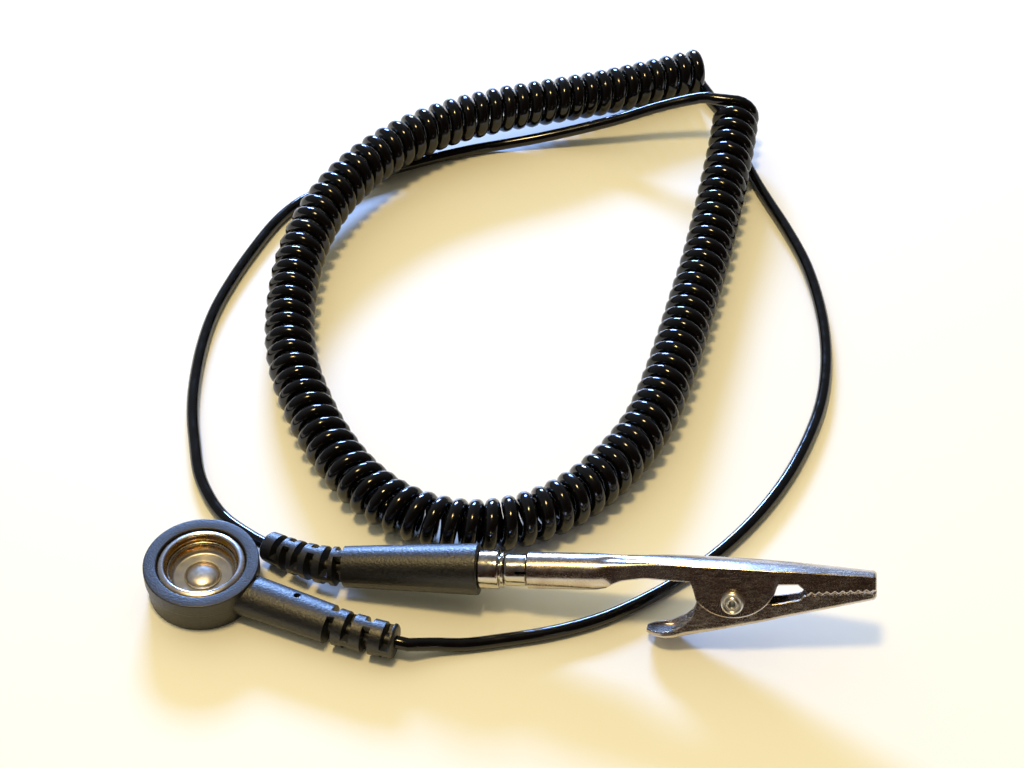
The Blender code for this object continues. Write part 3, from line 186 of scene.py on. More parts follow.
PLUG_SIDE_ROUTE = [
    (78.9, 105.1, 9.3), (71.8, 104.9, 7.5), (64.7, 104.2, 5.3), (57.4, 103.5, 3.5), (50.0, 102.8, 2.0),
    (43.3, 101.9, 1.2), (37.6, 100.5, 1.05), (32.0, 98.5, 1.05), (26.0, 96.0, 1.05), (20.0, 93.2, 1.05),
    (14.2, 90.2, 1.05), (8.9, 86.6, 1.05), (4.9, 81.4, 1.05), (1.4, 74.0, 1.05), (-1.7, 65.9, 1.05),
    (-4.0, 58.0, 1.05), (-5.2, 49.6, 1.05), (-5.5, 41.0, 1.05), (-5.1, 34.4, 1.05), (-4.2, 28.6, 1.05),
    (-2.9, 22.0, 1.05), (-0.8, 16.9, 1.05), (1.6, 13.1, 1.1), (4.1, 10.3, 1.6),
]


def unit(vectors):
    return vectors / np.linalg.norm(vectors, axis=-1, keepdims=True)


def run_along(points):
    """Distance of each point from the first, summed from point to point."""
    return np.concatenate([[0], np.cumsum(np.linalg.norm(np.diff(points, axis=0), axis=1))])


def smooth_route(points, spacing):
    """Even points on the cubic curve through the route: on each stretch from b to c, with a before it and
    d after it, half of 2b + (c - a)t + (2a - 5b + 4c - d)t^2 + (3b - a - 3c + d)t^3."""
    padded = np.vstack([2 * points[0] - points[1], points, 2 * points[-1] - points[-2]])
    a, b, c, d = (padded[i : len(padded) - 3 + i, None] for i in range(4))
    t = np.linspace(0, 1, 24, endpoint=False)[None, :, None]
    dense = b + 0.5 * ((c - a) * t + (2 * a - 5 * b + 4 * c - d) * t**2 + (3 * b - a - 3 * c + d) * t**3)
    dense = np.vstack([dense.reshape(-1, 3), points[-1]])
    along = run_along(dense)
    wanted = np.linspace(0, along[-1], max(2, round(along[-1] / spacing) + 1))
    return np.column_stack([np.interp(wanted, along, dense[:, k]) for k in range(3)])


def bend(start, control, end, share):
    """Points and directions on the curve from start to end that leaves towards control: start(1 - s)^2 +
    2 control s(1 - s) + end s^2."""
    s = np.atleast_1d(share)[:, None]
    points = start * (1 - s) ** 2 + control * 2 * s * (1 - s) + end * s**2
    return points, unit((control - start) * 2 * (1 - s) + (end - control) * 2 * s)


# The head's arm runs out at 24 degrees, and its relief bends on from there to the cord
ARM_TURN = math.radians(-24)
arm_along = np.array([math.cos(ARM_TURN), math.sin(ARM_TURN), 0.0])
arm_left = np.array([-arm_along[1], arm_along[0], 0.0])
arm_origin = arm_left * -0.6 * MM + np.array([0, 0, 2.75 * MM])
ARM_END = 20.2 * MM
snap_relief_end = np.array([28.8, -12.45, 2.75]) * MM
snap_relief = (arm_origin + arm_along * ARM_END, arm_origin + arm_along * 25.2 * MM, snap_relief_end)

# The plug lies along its own axis, which rises 6.2 degrees, and its relief bends back to the cord
plug_yaw, plug_rise, plug_roll = np.radians([-6.7, 6.2, 30.0])
plug_start = np.array([20.65, 0.45, 4.15]) * MM
level = np.array([math.cos(plug_yaw), math.sin(plug_yaw), 0.0])
plug_along = level * math.cos(plug_rise) + np.array([0.0, 0.0, math.sin(plug_rise)])
plug_left = unit(np.cross([0, 0, 1], plug_along))
plug_up = np.cross(plug_along, plug_left)
clip_up = plug_up * math.cos(plug_roll) + plug_left * math.sin(plug_roll)
clip_near = np.cross(plug_along, clip_up)
plug_relief_end = np.array([8.65, 6.4, 2.35]) * MM
plug_relief = (plug_relief_end, plug_start - plug_along * 5 * MM, plug_start)

coil_route = smooth_route(np.array(COIL_ROUTE) * MM, 0.5 * MM)
reach = run_along(coil_route)
steps = CURLS * PER_CURL + PER_CURL // 2
share = np.linspace(0, 1, steps + 1)
spacing = np.interp(reach / MM, *np.transpose(CURL_SPACING))
curls_by = np.concatenate([[0], np.cumsum(np.diff(reach) / spacing[1:])])
place_along = np.interp(share, curls_by / curls_by[-1], reach)


def on_route(at):
    return np.column_stack([np.interp(at, reach, coil_route[:, k]) for k in range(3)])


# Winding: a point of the route + radius (side sin a - up cos a), where side and up are square to the route
axis = unit(on_route(place_along + 1 * MM) - on_route(place_along - 1 * MM))
side = unit(np.cross(axis, [0, 0, 1]))
up = np.cross(side, axis)
angle = (2 * math.pi / PER_CURL * np.arange(steps + 1))[:, None]
outward = side * np.sin(angle) - up * np.cos(angle)
wound = on_route(place_along) + COIL_RADIUS * outward
coil_first = wound[0] - side[0] * 2 * CORD_RADIUS
coil_last = wound[-1] - side[-1] * 2 * CORD_RADIUS

in_arm, arm_direction = bend(*snap_relief, np.linspace(0.3, 1, 6))
from_arm = in_arm[-1] + arm_direction[-1] * LEAD
snap_side = np.vstack([from_arm, np.array(SNAP_SIDE_ROUTE) * MM, coil_first - side[0] * LEAD])
snap_side = smooth_route(snap_side, 1.5 * MM)
in_grip, grip_direction = bend(*plug_relief, np.linspace(0, 0.95, 8))
to_grip = in_grip[0] - grip_direction[0] * LEAD
plug_side = np.vstack([coil_last - side[-1] * LEAD, np.array(PLUG_SIDE_ROUTE) * MM, to_grip])
plug_side = smooth_route(plug_side, 1.5 * MM)
arm_end, grip_end = arm_origin + arm_along * 20.5 * MM, plug_start + plug_along * 5.95 * MM
cord_line = [arm_end, in_arm, snap_side, coil_first, wound, coil_last, plug_side, in_grip, grip_end]
cord_line = np.vstack(cord_line)
before, after = len(in_arm) + len(snap_side) + 2, len(plug_side) + len(in_grip) + 2
cord_outward = np.vstack([np.tile([0, 0, -1.0], (before, 1)), outward, np.tile([0, 0, 1.0], (after, 1))])


def shell(rings, ends="flat"):
    """Faces of the surface point(i, j) through closed rings j of stations i. The ends are flat fans, or
    "joined" to each other."""
    rows, count = rings.shape[:2]
    points = rings.reshape(-1, 3)
    i = np.arange(rows if ends == "joined" else rows - 1)[:, None] * count
    j, ahead = np.arange(count)[None, :], (np.arange(count)[None, :] + 1) % count
    far = (i + count) % (rows * count)
    quads = np.stack([i + j, i + ahead, far + ahead, far + j], -1).reshape(-1, 4)
    triangles = np.empty((0, 3), int)
    if ends == "flat":
        j, ahead, last, middle = j[0], ahead[0], (rows - 1) * count, rows * count
        points = np.vstack([points, rings[0].mean(0), rings[-1].mean(0)])
        start = np.column_stack([ahead, j, np.full(count, middle)])
        stop = np.column_stack([last + j, last + ahead, np.full(count, middle + 1)])
        triangles = np.vstack([start, stop])
    return points, quads, triangles


def build(name, shells, material, crease=35.0):
    """One mesh of closed shells. A shell whose signed volume, the sum of a.(b x c) / 6 over its
    triangles, is below zero is turned to face outwards."""
    points, faces, used = [], [], 0
    for corners, quads, triangles in shells:
        thirds = np.vstack([quads[:, :3], quads[:, [0, 2, 3]], triangles])
        a, b, c = corners[thirds[:, 0]], corners[thirds[:, 1]], corners[thirds[:, 2]]
        turn = -1 if (a * np.cross(b, c)).sum() < 0 else 1
        faces += (quads[:, ::turn] + used).tolist() + (triangles[:, ::turn] + used).tolist()
        points.append(corners)
        used += len(corners)
    mesh = bpy.data.meshes.new(name)
    mesh.from_pydata(np.vstack(points).tolist(), [], faces)
    mesh.shade_smooth()
    mesh.set_sharp_from_angle(angle=math.radians(crease))
    mesh.materials.append(material)
    piece = bpy.data.objects.new(name, mesh)
    bpy.context.scene.collection.objects.link(piece)
    return piece


def tube(line, outwards, radius, sides):
    """Rings of a round cord: middle + radius (out cos a + across sin a), where out is the given outward
    direction made square to the line, and across is square to both. The radius is a number, or a column
    with one for each point of the line."""
    along = unit(np.gradient(line, axis=0))
    out = unit(outwards - along * (outwards * along).sum(1, keepdims=True))
    across = np.cross(along, out)
    a = (2 * math.pi / sides * np.arange(sides))[None, :, None]
    ring = out[:, None] * np.cos(a) + across[:, None] * np.sin(a)
    return line[:, None] + np.reshape(radius, (-1, 1, 1)) * ring


# Soft PVC straight from the die: near black and glossy, with a faint ripple and hazier patches
gloss_pvc, tree, shader = finish("extruded_gloss_pvc", "#060607", 0.12)
shader.inputs["IOR"].default_value = 1.53
spot = add(tree, "ShaderNodeTexCoord").outputs["Object"]
haze = add(tree, "ShaderNodeTexNoise", {"Vector": spot, "Scale": 1 / (2.2 * MM), "Detail": 4.0})
worn = add(tree, "ShaderNodeMapRange", {0: haze.outputs[0], 1: 0.35, 2: 0.7, 3: 0.08, 4: 0.2})
tree.links.new(worn.outputs[0], shader.inputs["Roughness"])
shades = {0: haze.outputs[0], 6: linear("#040405"), 7: linear("#0b0b0d")}
tint = add(tree, "ShaderNodeMix", shades, data_type="RGBA")
tree.links.new(tint.outputs[2], shader.inputs["Base Color"])
ripple = add(tree, "ShaderNodeTexNoise", {"Vector": spot, "Scale": 1 / (0.9 * MM), "Detail": 2.0})
relief = add(tree, "ShaderNodeBump", {"Height": ripple.outputs[0], "Strength": 0.35, "Distance": 0.03 * MM})
tree.links.new(relief.outputs[0], shader.inputs["Normal"])

# The cord swells over the length of one curl, as an even average of 0 outside the coil and 1 inside it
curled = np.concatenate([np.zeros(before), np.ones(steps + 1), np.zeros(after)])
average = np.full(PER_CURL + 1, 1 / (PER_CURL + 1))
curled = np.convolve(np.pad(curled, PER_CURL // 2, mode="edge"), average, "valid")
cord_radius = CORD_RADIUS + (CURLED_RADIUS - CORD_RADIUS) * curled
cord = build("coiled_cord", [shell(tube(cord_line, cord_outward, cord_radius, SIDES))], gloss_pvc, 60)
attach(cord, "cord_body")
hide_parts("cord_snap_side", "cord_coil", "cord_plug_side", "snap_end_sheath", "plug_end_sheath")


# ---------------------------------------------------------------- Snap head moulding
# Black soft-touch PVC moulded in one shot: a ring round the socket, a round arm over the resistor, and a
# strain relief whose slots run round a thin core, past two webs that lie in turn above and beside it. The
# mould's spark-cut face leaves it matt and finely grained, with a thin seam line along the arm.

SLOT_HALF = 0.52 * MM
SLOT_CORE = 1.05 * MM  # radius of the core round the cord
WEB_HALF = 0.62 * MM


def rounded(profile, radius, closed=True):
    """The profile with each corner p replaced by the curve from a point short of p to one past it: a third
    of the way, (1 - t)^2 a + 2t(1 - t) p + t^2 b, with a and b at most the radius from p."""
    p = np.array(profile, float)
    back, ahead = np.roll(p, 1, axis=0) - p, np.roll(p, -1, axis=0) - p
    length_back, length_ahead = (np.linalg.norm(v, axis=1, keepdims=True) for v in (back, ahead))
    a = p + back * np.minimum(radius / length_back, 0.45)
    b = p + ahead * np.minimum(radius / length_ahead, 0.45)
    t = np.linspace(0, 1, 5)[None, :, None]
    curved = a[:, None] * (1 - t) ** 2 + 2 * p[:, None] * t * (1 - t) + b[:, None] * t**2
    if closed:
        return curved.reshape(-1, 2)
    return np.vstack([p[:1], curved[1:-1].reshape(-1, 2), p[-1:]])


def turned(profile, origin, across, beside, along, steps):
    """Rings of a turned piece: origin + r (across cos a + beside sin a) + h along, for each (r, h)."""
    a = (2 * math.pi / steps * np.arange(steps))[None, :, None]
    r, h = profile[:, 0][:, None, None], profile[:, 1][:, None, None]
    return origin + r * (across * np.cos(a) + beside * np.sin(a)) + h * along


def slotted(middles, along, wide, high, slots, first_upright, sides=144):
    """Rings round a path: (y, z) = (wide cos a, high sin a). In a slot they sink to the core, (y, z) =
    core (cos a, sin a), except for the webs, where z, or in every other slot y, is small. slots are
    distances along the path, and seam is the ridge where the mould parts."""
    left = unit(np.cross([0, 0, 1], along))
    above = np.cross(along, left)
    a = (2 * math.pi / sides * (np.arange(sides) + 0.5))[None, :]
    seam = 0.035 * MM * np.exp(-((high[:, None] * np.sin(a) / (0.1 * MM)) ** 2))
    y, z = (wide[:, None] + seam) * np.cos(a), high[:, None] * np.sin(a)
    at = run_along(middles)
    for i, slot in enumerate(slots):
        depth = np.clip((SLOT_HALF + 0.06 * MM - np.abs(at - slot)) / (0.12 * MM), 0, 1)[:, None]
        depth = depth**2 * (3 - 2 * depth)
        off_web = np.abs(z if (i % 2 == 0) == first_upright else y) - WEB_HALF
        depth = depth * np.clip(off_web / (0.1 * MM), 0, 1)
        y = y + depth * (SLOT_CORE * np.cos(a) - y)
        z = z + depth * (SLOT_CORE * np.sin(a) - z)
    return middles[:, None] + left[:, None] * y[..., None] + above[:, None] * z[..., None], y, z, above


# Spark-textured soft PVC: black and satin, with grains 0.3 mm across that break up the sheen of the
# window and the lamp. Real grains are finer, and wouldn't show. A waxy bloom lifts its sheen above that
# of plain PVC, and with it the IOR.
matt_pvc, tree, shader = finish("moulded_matt_pvc", "#121315", 0.5)
shader.inputs["IOR"].default_value = 1.75
spot = add(tree, "ShaderNodeTexCoord").outputs["Object"]
grain = add(tree, "ShaderNodeTexNoise", {"Vector": spot, "Scale": 1 / (0.3 * MM), "Detail": 3.0})
cloud = add(tree, "ShaderNodeTexNoise", {"Vector": spot, "Scale": 1 / (3.5 * MM), "Detail": 3.0})
both = add(tree, "ShaderNodeMath", {0: grain.outputs[0], 1: cloud.outputs[0]}, operation="MULTIPLY")
tone = add(tree, "ShaderNodeMapRange", {0: both.outputs[0], 1: 0.12, 2: 0.4})
shades = {0: tone.outputs[0], 6: linear("#040405"), 7: linear("#151619")}
tint = add(tree, "ShaderNodeMix", shades, data_type="RGBA")
tree.links.new(tint.outputs[2], shader.inputs["Base Color"])
matt = add(tree, "ShaderNodeMapRange", {0: grain.outputs[0], 1: 0.3, 2: 0.7, 3: 0.34, 4: 0.52})
tree.links.new(matt.outputs[0], shader.inputs["Roughness"])
relief = add(tree, "ShaderNodeBump", {"Height": grain.outputs[0], "Strength": 0.9, "Distance": 0.06 * MM})
tree.links.new(relief.outputs[0], shader.inputs["Normal"])

HEAD_STEPS = 160  # stations round the ring
ARM_START = 6.85  # mm from the head's centre
HOLE_AT, HOLE_ACROSS, HOLE_RADIUS, HOLE_DEPTH = 15.5 * MM, 1.2 * MM, 0.475 * MM, 0.9 * MM
world_x, world_y, world_z = np.eye(3)
centre = np.zeros(3)
# (radius, height) in mm, round the ring's section from the top's inner edge
head_profile = [
    (6.58, 5.7), (8.5, 5.7), (8.5, 3.5), (8.2, 3.3), (8.15, 0.0), (6.55, 0.0),
    (6.55, 0.75), (5.95, 0.75), (5.95, 5.05), (6.58, 5.05),
]
head_profile = rounded(np.array(head_profile) * MM, 0.22 * MM)
head_ring = turned(head_profile, centre, world_x, world_y, world_z, HEAD_STEPS)

arm_at = [np.linspace(ARM_START, 14.8, 25), np.linspace(14.9, 16.1, 21), np.linspace(16.2, ARM_END / MM, 28)]
arm_at = np.concatenate(arm_at)
share = np.linspace(0, 1, 150)[1:]
relief_middles, relief_along = bend(*snap_relief, share)
middles = np.vstack([arm_origin + arm_along * arm_at[:, None] * MM, relief_middles])
along = np.vstack([np.tile(arm_along, (len(arm_at), 1)), relief_along])
# Half sizes in mm: the arm tapers, and steps over to the relief's round section just behind its start
arm_share = (arm_at - ARM_START) / (ARM_END / MM - ARM_START)
radius = 2.75 - 0.15 * share - 0.25 * np.clip((share - 0.97) / 0.03, 0, 1) ** 2
step = np.clip((share - 0.13) / 0.06, 0, 1)
wide = np.concatenate([3.4 - 0.3 * arm_share, 3.1 + (radius - 3.1) * step]) * MM
high = np.concatenate([2.65 - 0.1 * arm_share, 2.55 + (radius - 2.55) * step]) * MM
run = run_along(middles)
run_share = np.concatenate([np.full(len(arm_at), 0.0), share])
from_relief = slice(len(arm_at) - 1, None)
snap_slots = np.interp([0.165, 0.415, 0.66, 0.91], run_share[from_relief], run[from_relief])
arm_rings, y, z, above = slotted(middles, along, wide, high, snap_slots, False)
# Round core-pin hole in the top of the arm
at = run[:, None] + ARM_START * MM
in_hole = (np.hypot(at - HOLE_AT, y - HOLE_ACROSS) < HOLE_RADIUS) & (z > 0)
arm_rings = arm_rings - above[:, None] * (in_hole * HOLE_DEPTH)[..., None]

snap_housing = build("snap_head_moulding", [shell(head_ring, "joined"), shell(arm_rings)], matt_pvc, 50)
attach(snap_housing, "cord_body")
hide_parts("snap_housing")
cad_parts["snap_back_cap"].material_slots[0].material = matt_pvc


# ---------------------------------------------------------------- Socket cup
# The female half of a 10 mm snap: a cup drawn from brass sheet and nickel plated, with a rolled rim and a
# bead round its wall. The studs that snap in have rubbed the wall's plating down to a brassy gold.

# Drawn and nickel-plated brass: bright on the rim, golden where the wall is rubbed, and satin on the floor
plated_cup, tree, shader = finish("nickel_plated_drawn_brass", "#d8d2c6", 0.3, 1.0)
spot = add(tree, "ShaderNodeTexCoord").outputs["Object"]
height = add(tree, "ShaderNodeSeparateXYZ", {0: spot}).outputs["Z"]
patch = add(tree, "ShaderNodeTexNoise", {"Vector": spot, "Scale": 1 / (1.6 * MM), "Detail": 4.0})
FLOOR_TOP, WALL_FOOT = 2.7 * MM, 3.4 * MM  # between them the floor turns up into the wall
lower = add(tree, "ShaderNodeMapRange", {0: height, 1: FLOOR_TOP, 2: WALL_FOOT})
upper = add(tree, "ShaderNodeMapRange", {0: height, 1: 5.6 * MM, 2: 5.35 * MM})
wall = add(tree, "ShaderNodeMath", {0: lower.outputs[0], 1: upper.outputs[0]}, operation="MULTIPLY")
rubbed = add(tree, "ShaderNodeMapRange", {0: patch.outputs[0], 1: 0.25, 2: 0.6, 3: 0.45, 4: 1.0})
gold = add(tree, "ShaderNodeMath", {0: wall.outputs[0], 1: rubbed.outputs[0]}, operation="MULTIPLY")
shades = {0: gold.outputs[0], 6: linear("#dfe1e6"), 7: linear("#cfa048")}
tint = add(tree, "ShaderNodeMix", shades, data_type="RGBA")
tree.links.new(tint.outputs[2], shader.inputs["Base Color"])
dull = add(tree, "ShaderNodeMapRange", {0: patch.outputs[0], 1: 0.3, 2: 0.7, 3: -0.06, 4: 0.08})
satin = add(tree, "ShaderNodeMapRange", {0: height, 1: FLOOR_TOP, 2: WALL_FOOT, 3: 0.38, 4: 0.25})
dull = add(tree, "ShaderNodeMath", {0: dull.outputs[0], 1: satin.outputs[0]}, operation="ADD")
tree.links.new(dull.outputs[0], shader.inputs["Roughness"])
scuff = add(tree, "ShaderNodeTexNoise", {"Vector": spot, "Scale": 1 / (0.35 * MM), "Detail": 3.0})
relief = add(tree, "ShaderNodeBump", {"Height": scuff.outputs[0], "Strength": 0.25, "Distance": 0.02 * MM})
tree.links.new(relief.outputs[0], shader.inputs["Normal"])

# (radius, height) in mm, round the rim, down the outside, across the floor and up the inside
cup_profile = [
    (5.4, 5.3), (5.46, 5.52), (5.64, 5.64), (5.9, 5.62), (6.3, 5.46), (6.5, 5.26), (6.4, 5.12),
    (5.8, 5.12), (5.8, 2.9), (5.3, 2.2), (1.35, 2.2), (1.35, 2.6), (4.3, 2.6), (4.7, 3.0),
    (4.7, 3.25), (4.95, 3.7), (5.5, 3.8), (5.5, 4.5), (5.1, 4.6), (5.1, 5.0),
]
cup_profile = rounded(np.array(cup_profile) * MM, 0.16 * MM)
cup_wall = shell(turned(cup_profile, centre, world_x, world_y, world_z, 144), "joined")
cup = build("socket_cup", [cup_wall], plated_cup)
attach(cup, "cord_body")
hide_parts("snap_socket_cup")


# ---------------------------------------------------------------- Retaining ring and rivet
# A split ring of drawn spring wire sits in the cup's bead and snaps over the stud. A domed, plated rivet
# holds the cup's floor to the contact tag under it.


def mottled(name, colour, roughness, patch, detail, shades, dull=None):
    """A metal whose tint, and roughness where dull is given, run between two values as one noise rises,
    with patches of the given size in mm. The noise is handed back for the rest of the finish."""
    metal, tree, shader = finish(name, colour, roughness, 1.0)
    spot = add(tree, "ShaderNodeTexCoord").outputs["Object"]
    noise = add(tree, "ShaderNodeTexNoise", {"Vector": spot, "Scale": 1 / (patch * MM), "Detail": detail})
    if dull:
        worn = {0: noise.outputs[0], 1: 0.3, 2: 0.7, 3: dull[0], 4: dull[1]}
        worn = add(tree, "ShaderNodeMapRange", worn)
        tree.links.new(worn.outputs[0], shader.inputs["Roughness"])
    tint = {0: noise.outputs[0], 6: linear(shades[0]), 7: linear(shades[1])}
    tint = add(tree, "ShaderNodeMix", tint, data_type="RGBA")
    tree.links.new(tint.outputs[2], shader.inputs["Base Color"])
    return metal, tree, shader, noise.outputs[0]


# Drawn spring steel: grey and smooth, with faint marks along the wire
shades, dull = ("#9c937f", "#c6c0b4"), (0.18, 0.34)
drawn_steel = mottled("drawn_spring_steel", "#b3aca0", 0.26, 0.25, 3.0, shades, dull)[0]

RING_RADIUS, RING_HEIGHT, RING_WIRE = 5.05 * MM, 4.15 * MM, 0.3 * MM
RING_GAP = 14  # degrees, on the arm's side
turn = np.radians(np.linspace(RING_GAP / 2, 360 - RING_GAP / 2, 120)) + ARM_TURN
ring_out = np.column_stack([np.cos(turn), np.sin(turn), np.zeros(len(turn))])
ring_line = ring_out * RING_RADIUS + np.array([0, 0, RING_HEIGHT])
ring_wire = shell(tube(ring_line, ring_out, RING_WIRE, 14))
retaining_ring = build("retaining_ring", [ring_wire], drawn_steel, 60)
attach(retaining_ring, "cord_body")
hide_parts("snap_retaining_ring")

# Barrel-polished nickel: bright, with soft small dents from the tumbling
shades, dull = ("#c3baa6", "#e3dfd8"), (0.1, 0.24)
bright_nickel, tree, shader, dent = mottled("bright_nickel_plate", "#d8d3c9", 0.16, 0.8, 3.0, shades, dull)
relief = add(tree, "ShaderNodeBump", {"Height": dent, "Strength": 0.2, "Distance": 0.04 * MM})
tree.links.new(relief.outputs[0], shader.inputs["Normal"])

# Pressed nickel: pale and satin, as the setting tool left it
shades, dull = ("#d9d4c9", "#f0eeea"), (0.28, 0.38)
pressed_nickel = mottled("pressed_satin_nickel", "#e2dfd8", 0.34, 0.7, 4.0, shades, dull)[0]

# Head: a dome of (r, h) = (radius cos a, foot + rise sin a), then the shank and its clinched foot
DOME_RADIUS, DOME_FOOT, DOME_RISE = 2.7, 2.75, 0.95
dome = np.radians(np.linspace(90, 8, 12))
rivet_profile = np.column_stack([DOME_RADIUS * np.cos(dome), DOME_FOOT + DOME_RISE * np.sin(dome)])
shank = [(DOME_RADIUS, DOME_FOOT), (1.2, DOME_FOOT), (1.2, 1.93), (1.7, 1.93), (1.6, 1.68)]
rivet_profile = np.vstack([rivet_profile[1:], shank]) * MM
rivet_rings = turned(rivet_profile, centre, world_x, world_y, world_z, 96)
rivet = build("socket_rivet", [shell(rivet_rings)], pressed_nickel)
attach(rivet, "cord_body")
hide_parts("snap_rivet")


# ---------------------------------------------------------------- Inside the arm and the grip
# A stamped brass tag carries the socket's contact to a small film resistor, whose far lead is crimped to
# the cord's tinned strands. At the other end the strands run into the plug's solder cup.

# Stamped brass: warm yellow, a little dull where it was handled
stamped_brass = mottled("stamped_brass", "#c9a45c", 0.3, 0.9, 4.0, ("#a98246", "#dcbf7d"))[0]
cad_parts["contact_tag"].material_slots[0].material = stamped_brass

# Tinned copper strands and crimp: pale grey with a copper tone where the tin is thin
tinned, tree, shader = finish("tinned_copper", "#c4b7a6", 0.36, 1.0)
spot = add(tree, "ShaderNodeTexCoord").outputs["Object"]
thin = add(tree, "ShaderNodeTexNoise", {"Vector": spot, "Scale": 1 / (0.4 * MM), "Detail": 3.0})
thin = add(tree, "ShaderNodeMapRange", {0: thin.outputs[0], 1: 0.45, 2: 0.75})
shades = {0: thin.outputs[0], 6: linear("#c9c3b8"), 7: linear("#b9835c")}
tint = add(tree, "ShaderNodeMix", shades, data_type="RGBA")
tree.links.new(tint.outputs[2], shader.inputs["Base Color"])
for name in ("crimp_sleeve", "snap_end_conductor", "plug_end_conductor"):
    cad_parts[name].material_slots[0].material = tinned

# Dipped resistor lacquer: tan and glossy, with four coloured bands round its body
lacquer, tree, shader = finish("dipped_tan_lacquer", "#c8a676", 0.28)
spot = add(tree, "ShaderNodeTexCoord").outputs["Object"]
along_body = add(tree, "ShaderNodeVectorMath", {0: spot, 1: tuple(arm_along)}, operation="DOT_PRODUCT")
along_body = along_body.outputs["Value"]
wash = add(tree, "ShaderNodeTexNoise", {"Vector": spot, "Scale": 1 / (1.2 * MM), "Detail": 3.0})
shades = {0: wash.outputs[0], 6: linear("#b8935f"), 7: linear("#d8bb8d")}
coat = add(tree, "ShaderNodeMix", shades, data_type="RGBA").outputs[2]
BAND_HALF = 0.3 * MM
for place, band in ((10.8, "#5a3418"), (11.9, "#15130f"), (13.0, "#2f6b3a"), (15.0, "#b08a35")):
    off = add(tree, "ShaderNodeMath", {0: along_body, 1: place * MM}, operation="SUBTRACT")
    off = add(tree, "ShaderNodeMath", {0: off.outputs[0]}, operation="ABSOLUTE")
    inside = add(tree, "ShaderNodeMath", {0: off.outputs[0], 1: BAND_HALF}, operation="LESS_THAN")
    shades = {0: inside.outputs[0], 6: coat, 7: linear(band)}
    coat = add(tree, "ShaderNodeMix", shades, data_type="RGBA").outputs[2]
tree.links.new(coat, shader.inputs["Base Color"])
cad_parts["series_resistor"].material_slots[0].material = lacquer


# ---------------------------------------------------------------- Plug grip
# The banana plug's grip, moulded round the cord and the pin's tail in the same matt PVC. It widens towards
# the pin, and its slotted relief bends with the cord.

GRIP_LENGTH, GRIP_ROUND = 20.05, 0.25  # mm, up to the round at the front, and that round
RELIEF_START = 0.04  # share of the relief's curve at which the moulding starts
relief_share = np.linspace(RELIEF_START, 0.97, 210)
relief_middles, relief_along = bend(*plug_relief, relief_share)
grip_at = np.concatenate([np.linspace(0, 1, 17), np.linspace(1.3, 19.9, 56)])
grip_at = np.concatenate([grip_at, GRIP_LENGTH + GRIP_ROUND * np.sin(np.radians(np.linspace(0, 90, 7)))])
middles = np.vstack([relief_middles, plug_start + plug_along * grip_at[:, None] * MM])
along = np.vstack([relief_along, np.tile(plug_along, (len(grip_at), 1))])
# The relief widens from 2.2 to 2.95 mm and the grip from 3 to 3.75 mm, both with rounded ends
relief_end = np.clip(1 - (relief_share - RELIEF_START) / 0.02, 0, 1)
radius = 2.2 + 0.75 * relief_share**0.7 - 0.3 * relief_end**2
grip_radius = 3.0 + 0.75 * np.clip(grip_at / GRIP_LENGTH, 0, 1) ** 0.85
into_round = np.clip(grip_at - GRIP_LENGTH, 0, GRIP_ROUND) / GRIP_ROUND
grip_radius -= GRIP_ROUND * (1 - np.sqrt(np.clip(1 - into_round**2, 0, 1)))
radius = np.concatenate([radius, grip_radius]) * MM
run = run_along(middles)
plug_slots = np.interp([0.2, 0.315, 0.45, 0.615, 0.805, 0.98], relief_share, run[: len(relief_share)])
grip_rings = slotted(middles, along, radius, radius, plug_slots, True)[0]
grip = build("plug_grip_moulding", [shell(grip_rings)], matt_pvc, 50)
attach(grip, "cord_body")
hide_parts("plug_grip")


# ---------------------------------------------------------------- Plug pin
# Turned brass, nickel plated: a shoulder against the grip, a groove and a flange that trap the spring
# cage, and a thin core with a rounded tip.

# (radius, distance from the back of the grip) in mm, from the tip to the tail in the grip
pin_profile = [
    (0.9, 40.25), (1.5, 39.75), (1.55, 39.15), (1.15, 39.15), (1.15, 24.05), (2.5, 24.05), (2.6, 23.95),
    (2.6, 23.6), (2.1, 23.6), (2.1, 23.35), (2.7, 23.35), (2.85, 23.15), (2.85, 20.45), (1.5, 20.45),
    (1.5, 8.3),
]
pin_profile = rounded(np.array(pin_profile) * MM, 0.1 * MM, closed=False)
pin_profile = np.vstack([[(0.3 * MM, 40.35 * MM)], pin_profile])
pin_rings = turned(pin_profile, plug_start, clip_up, clip_near, plug_along, 96)
pin = build("plug_pin_turned", [shell(pin_rings)], bright_nickel)
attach(pin, "cord_body")
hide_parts("plug_pin")


# ---------------------------------------------------------------- Spring cage
# Hard brass sheet, 0.25 mm thick, slit and rolled into a collar and four bulging leaves that press on the
# bore of a 4 mm jack. It turns freely on the pin.


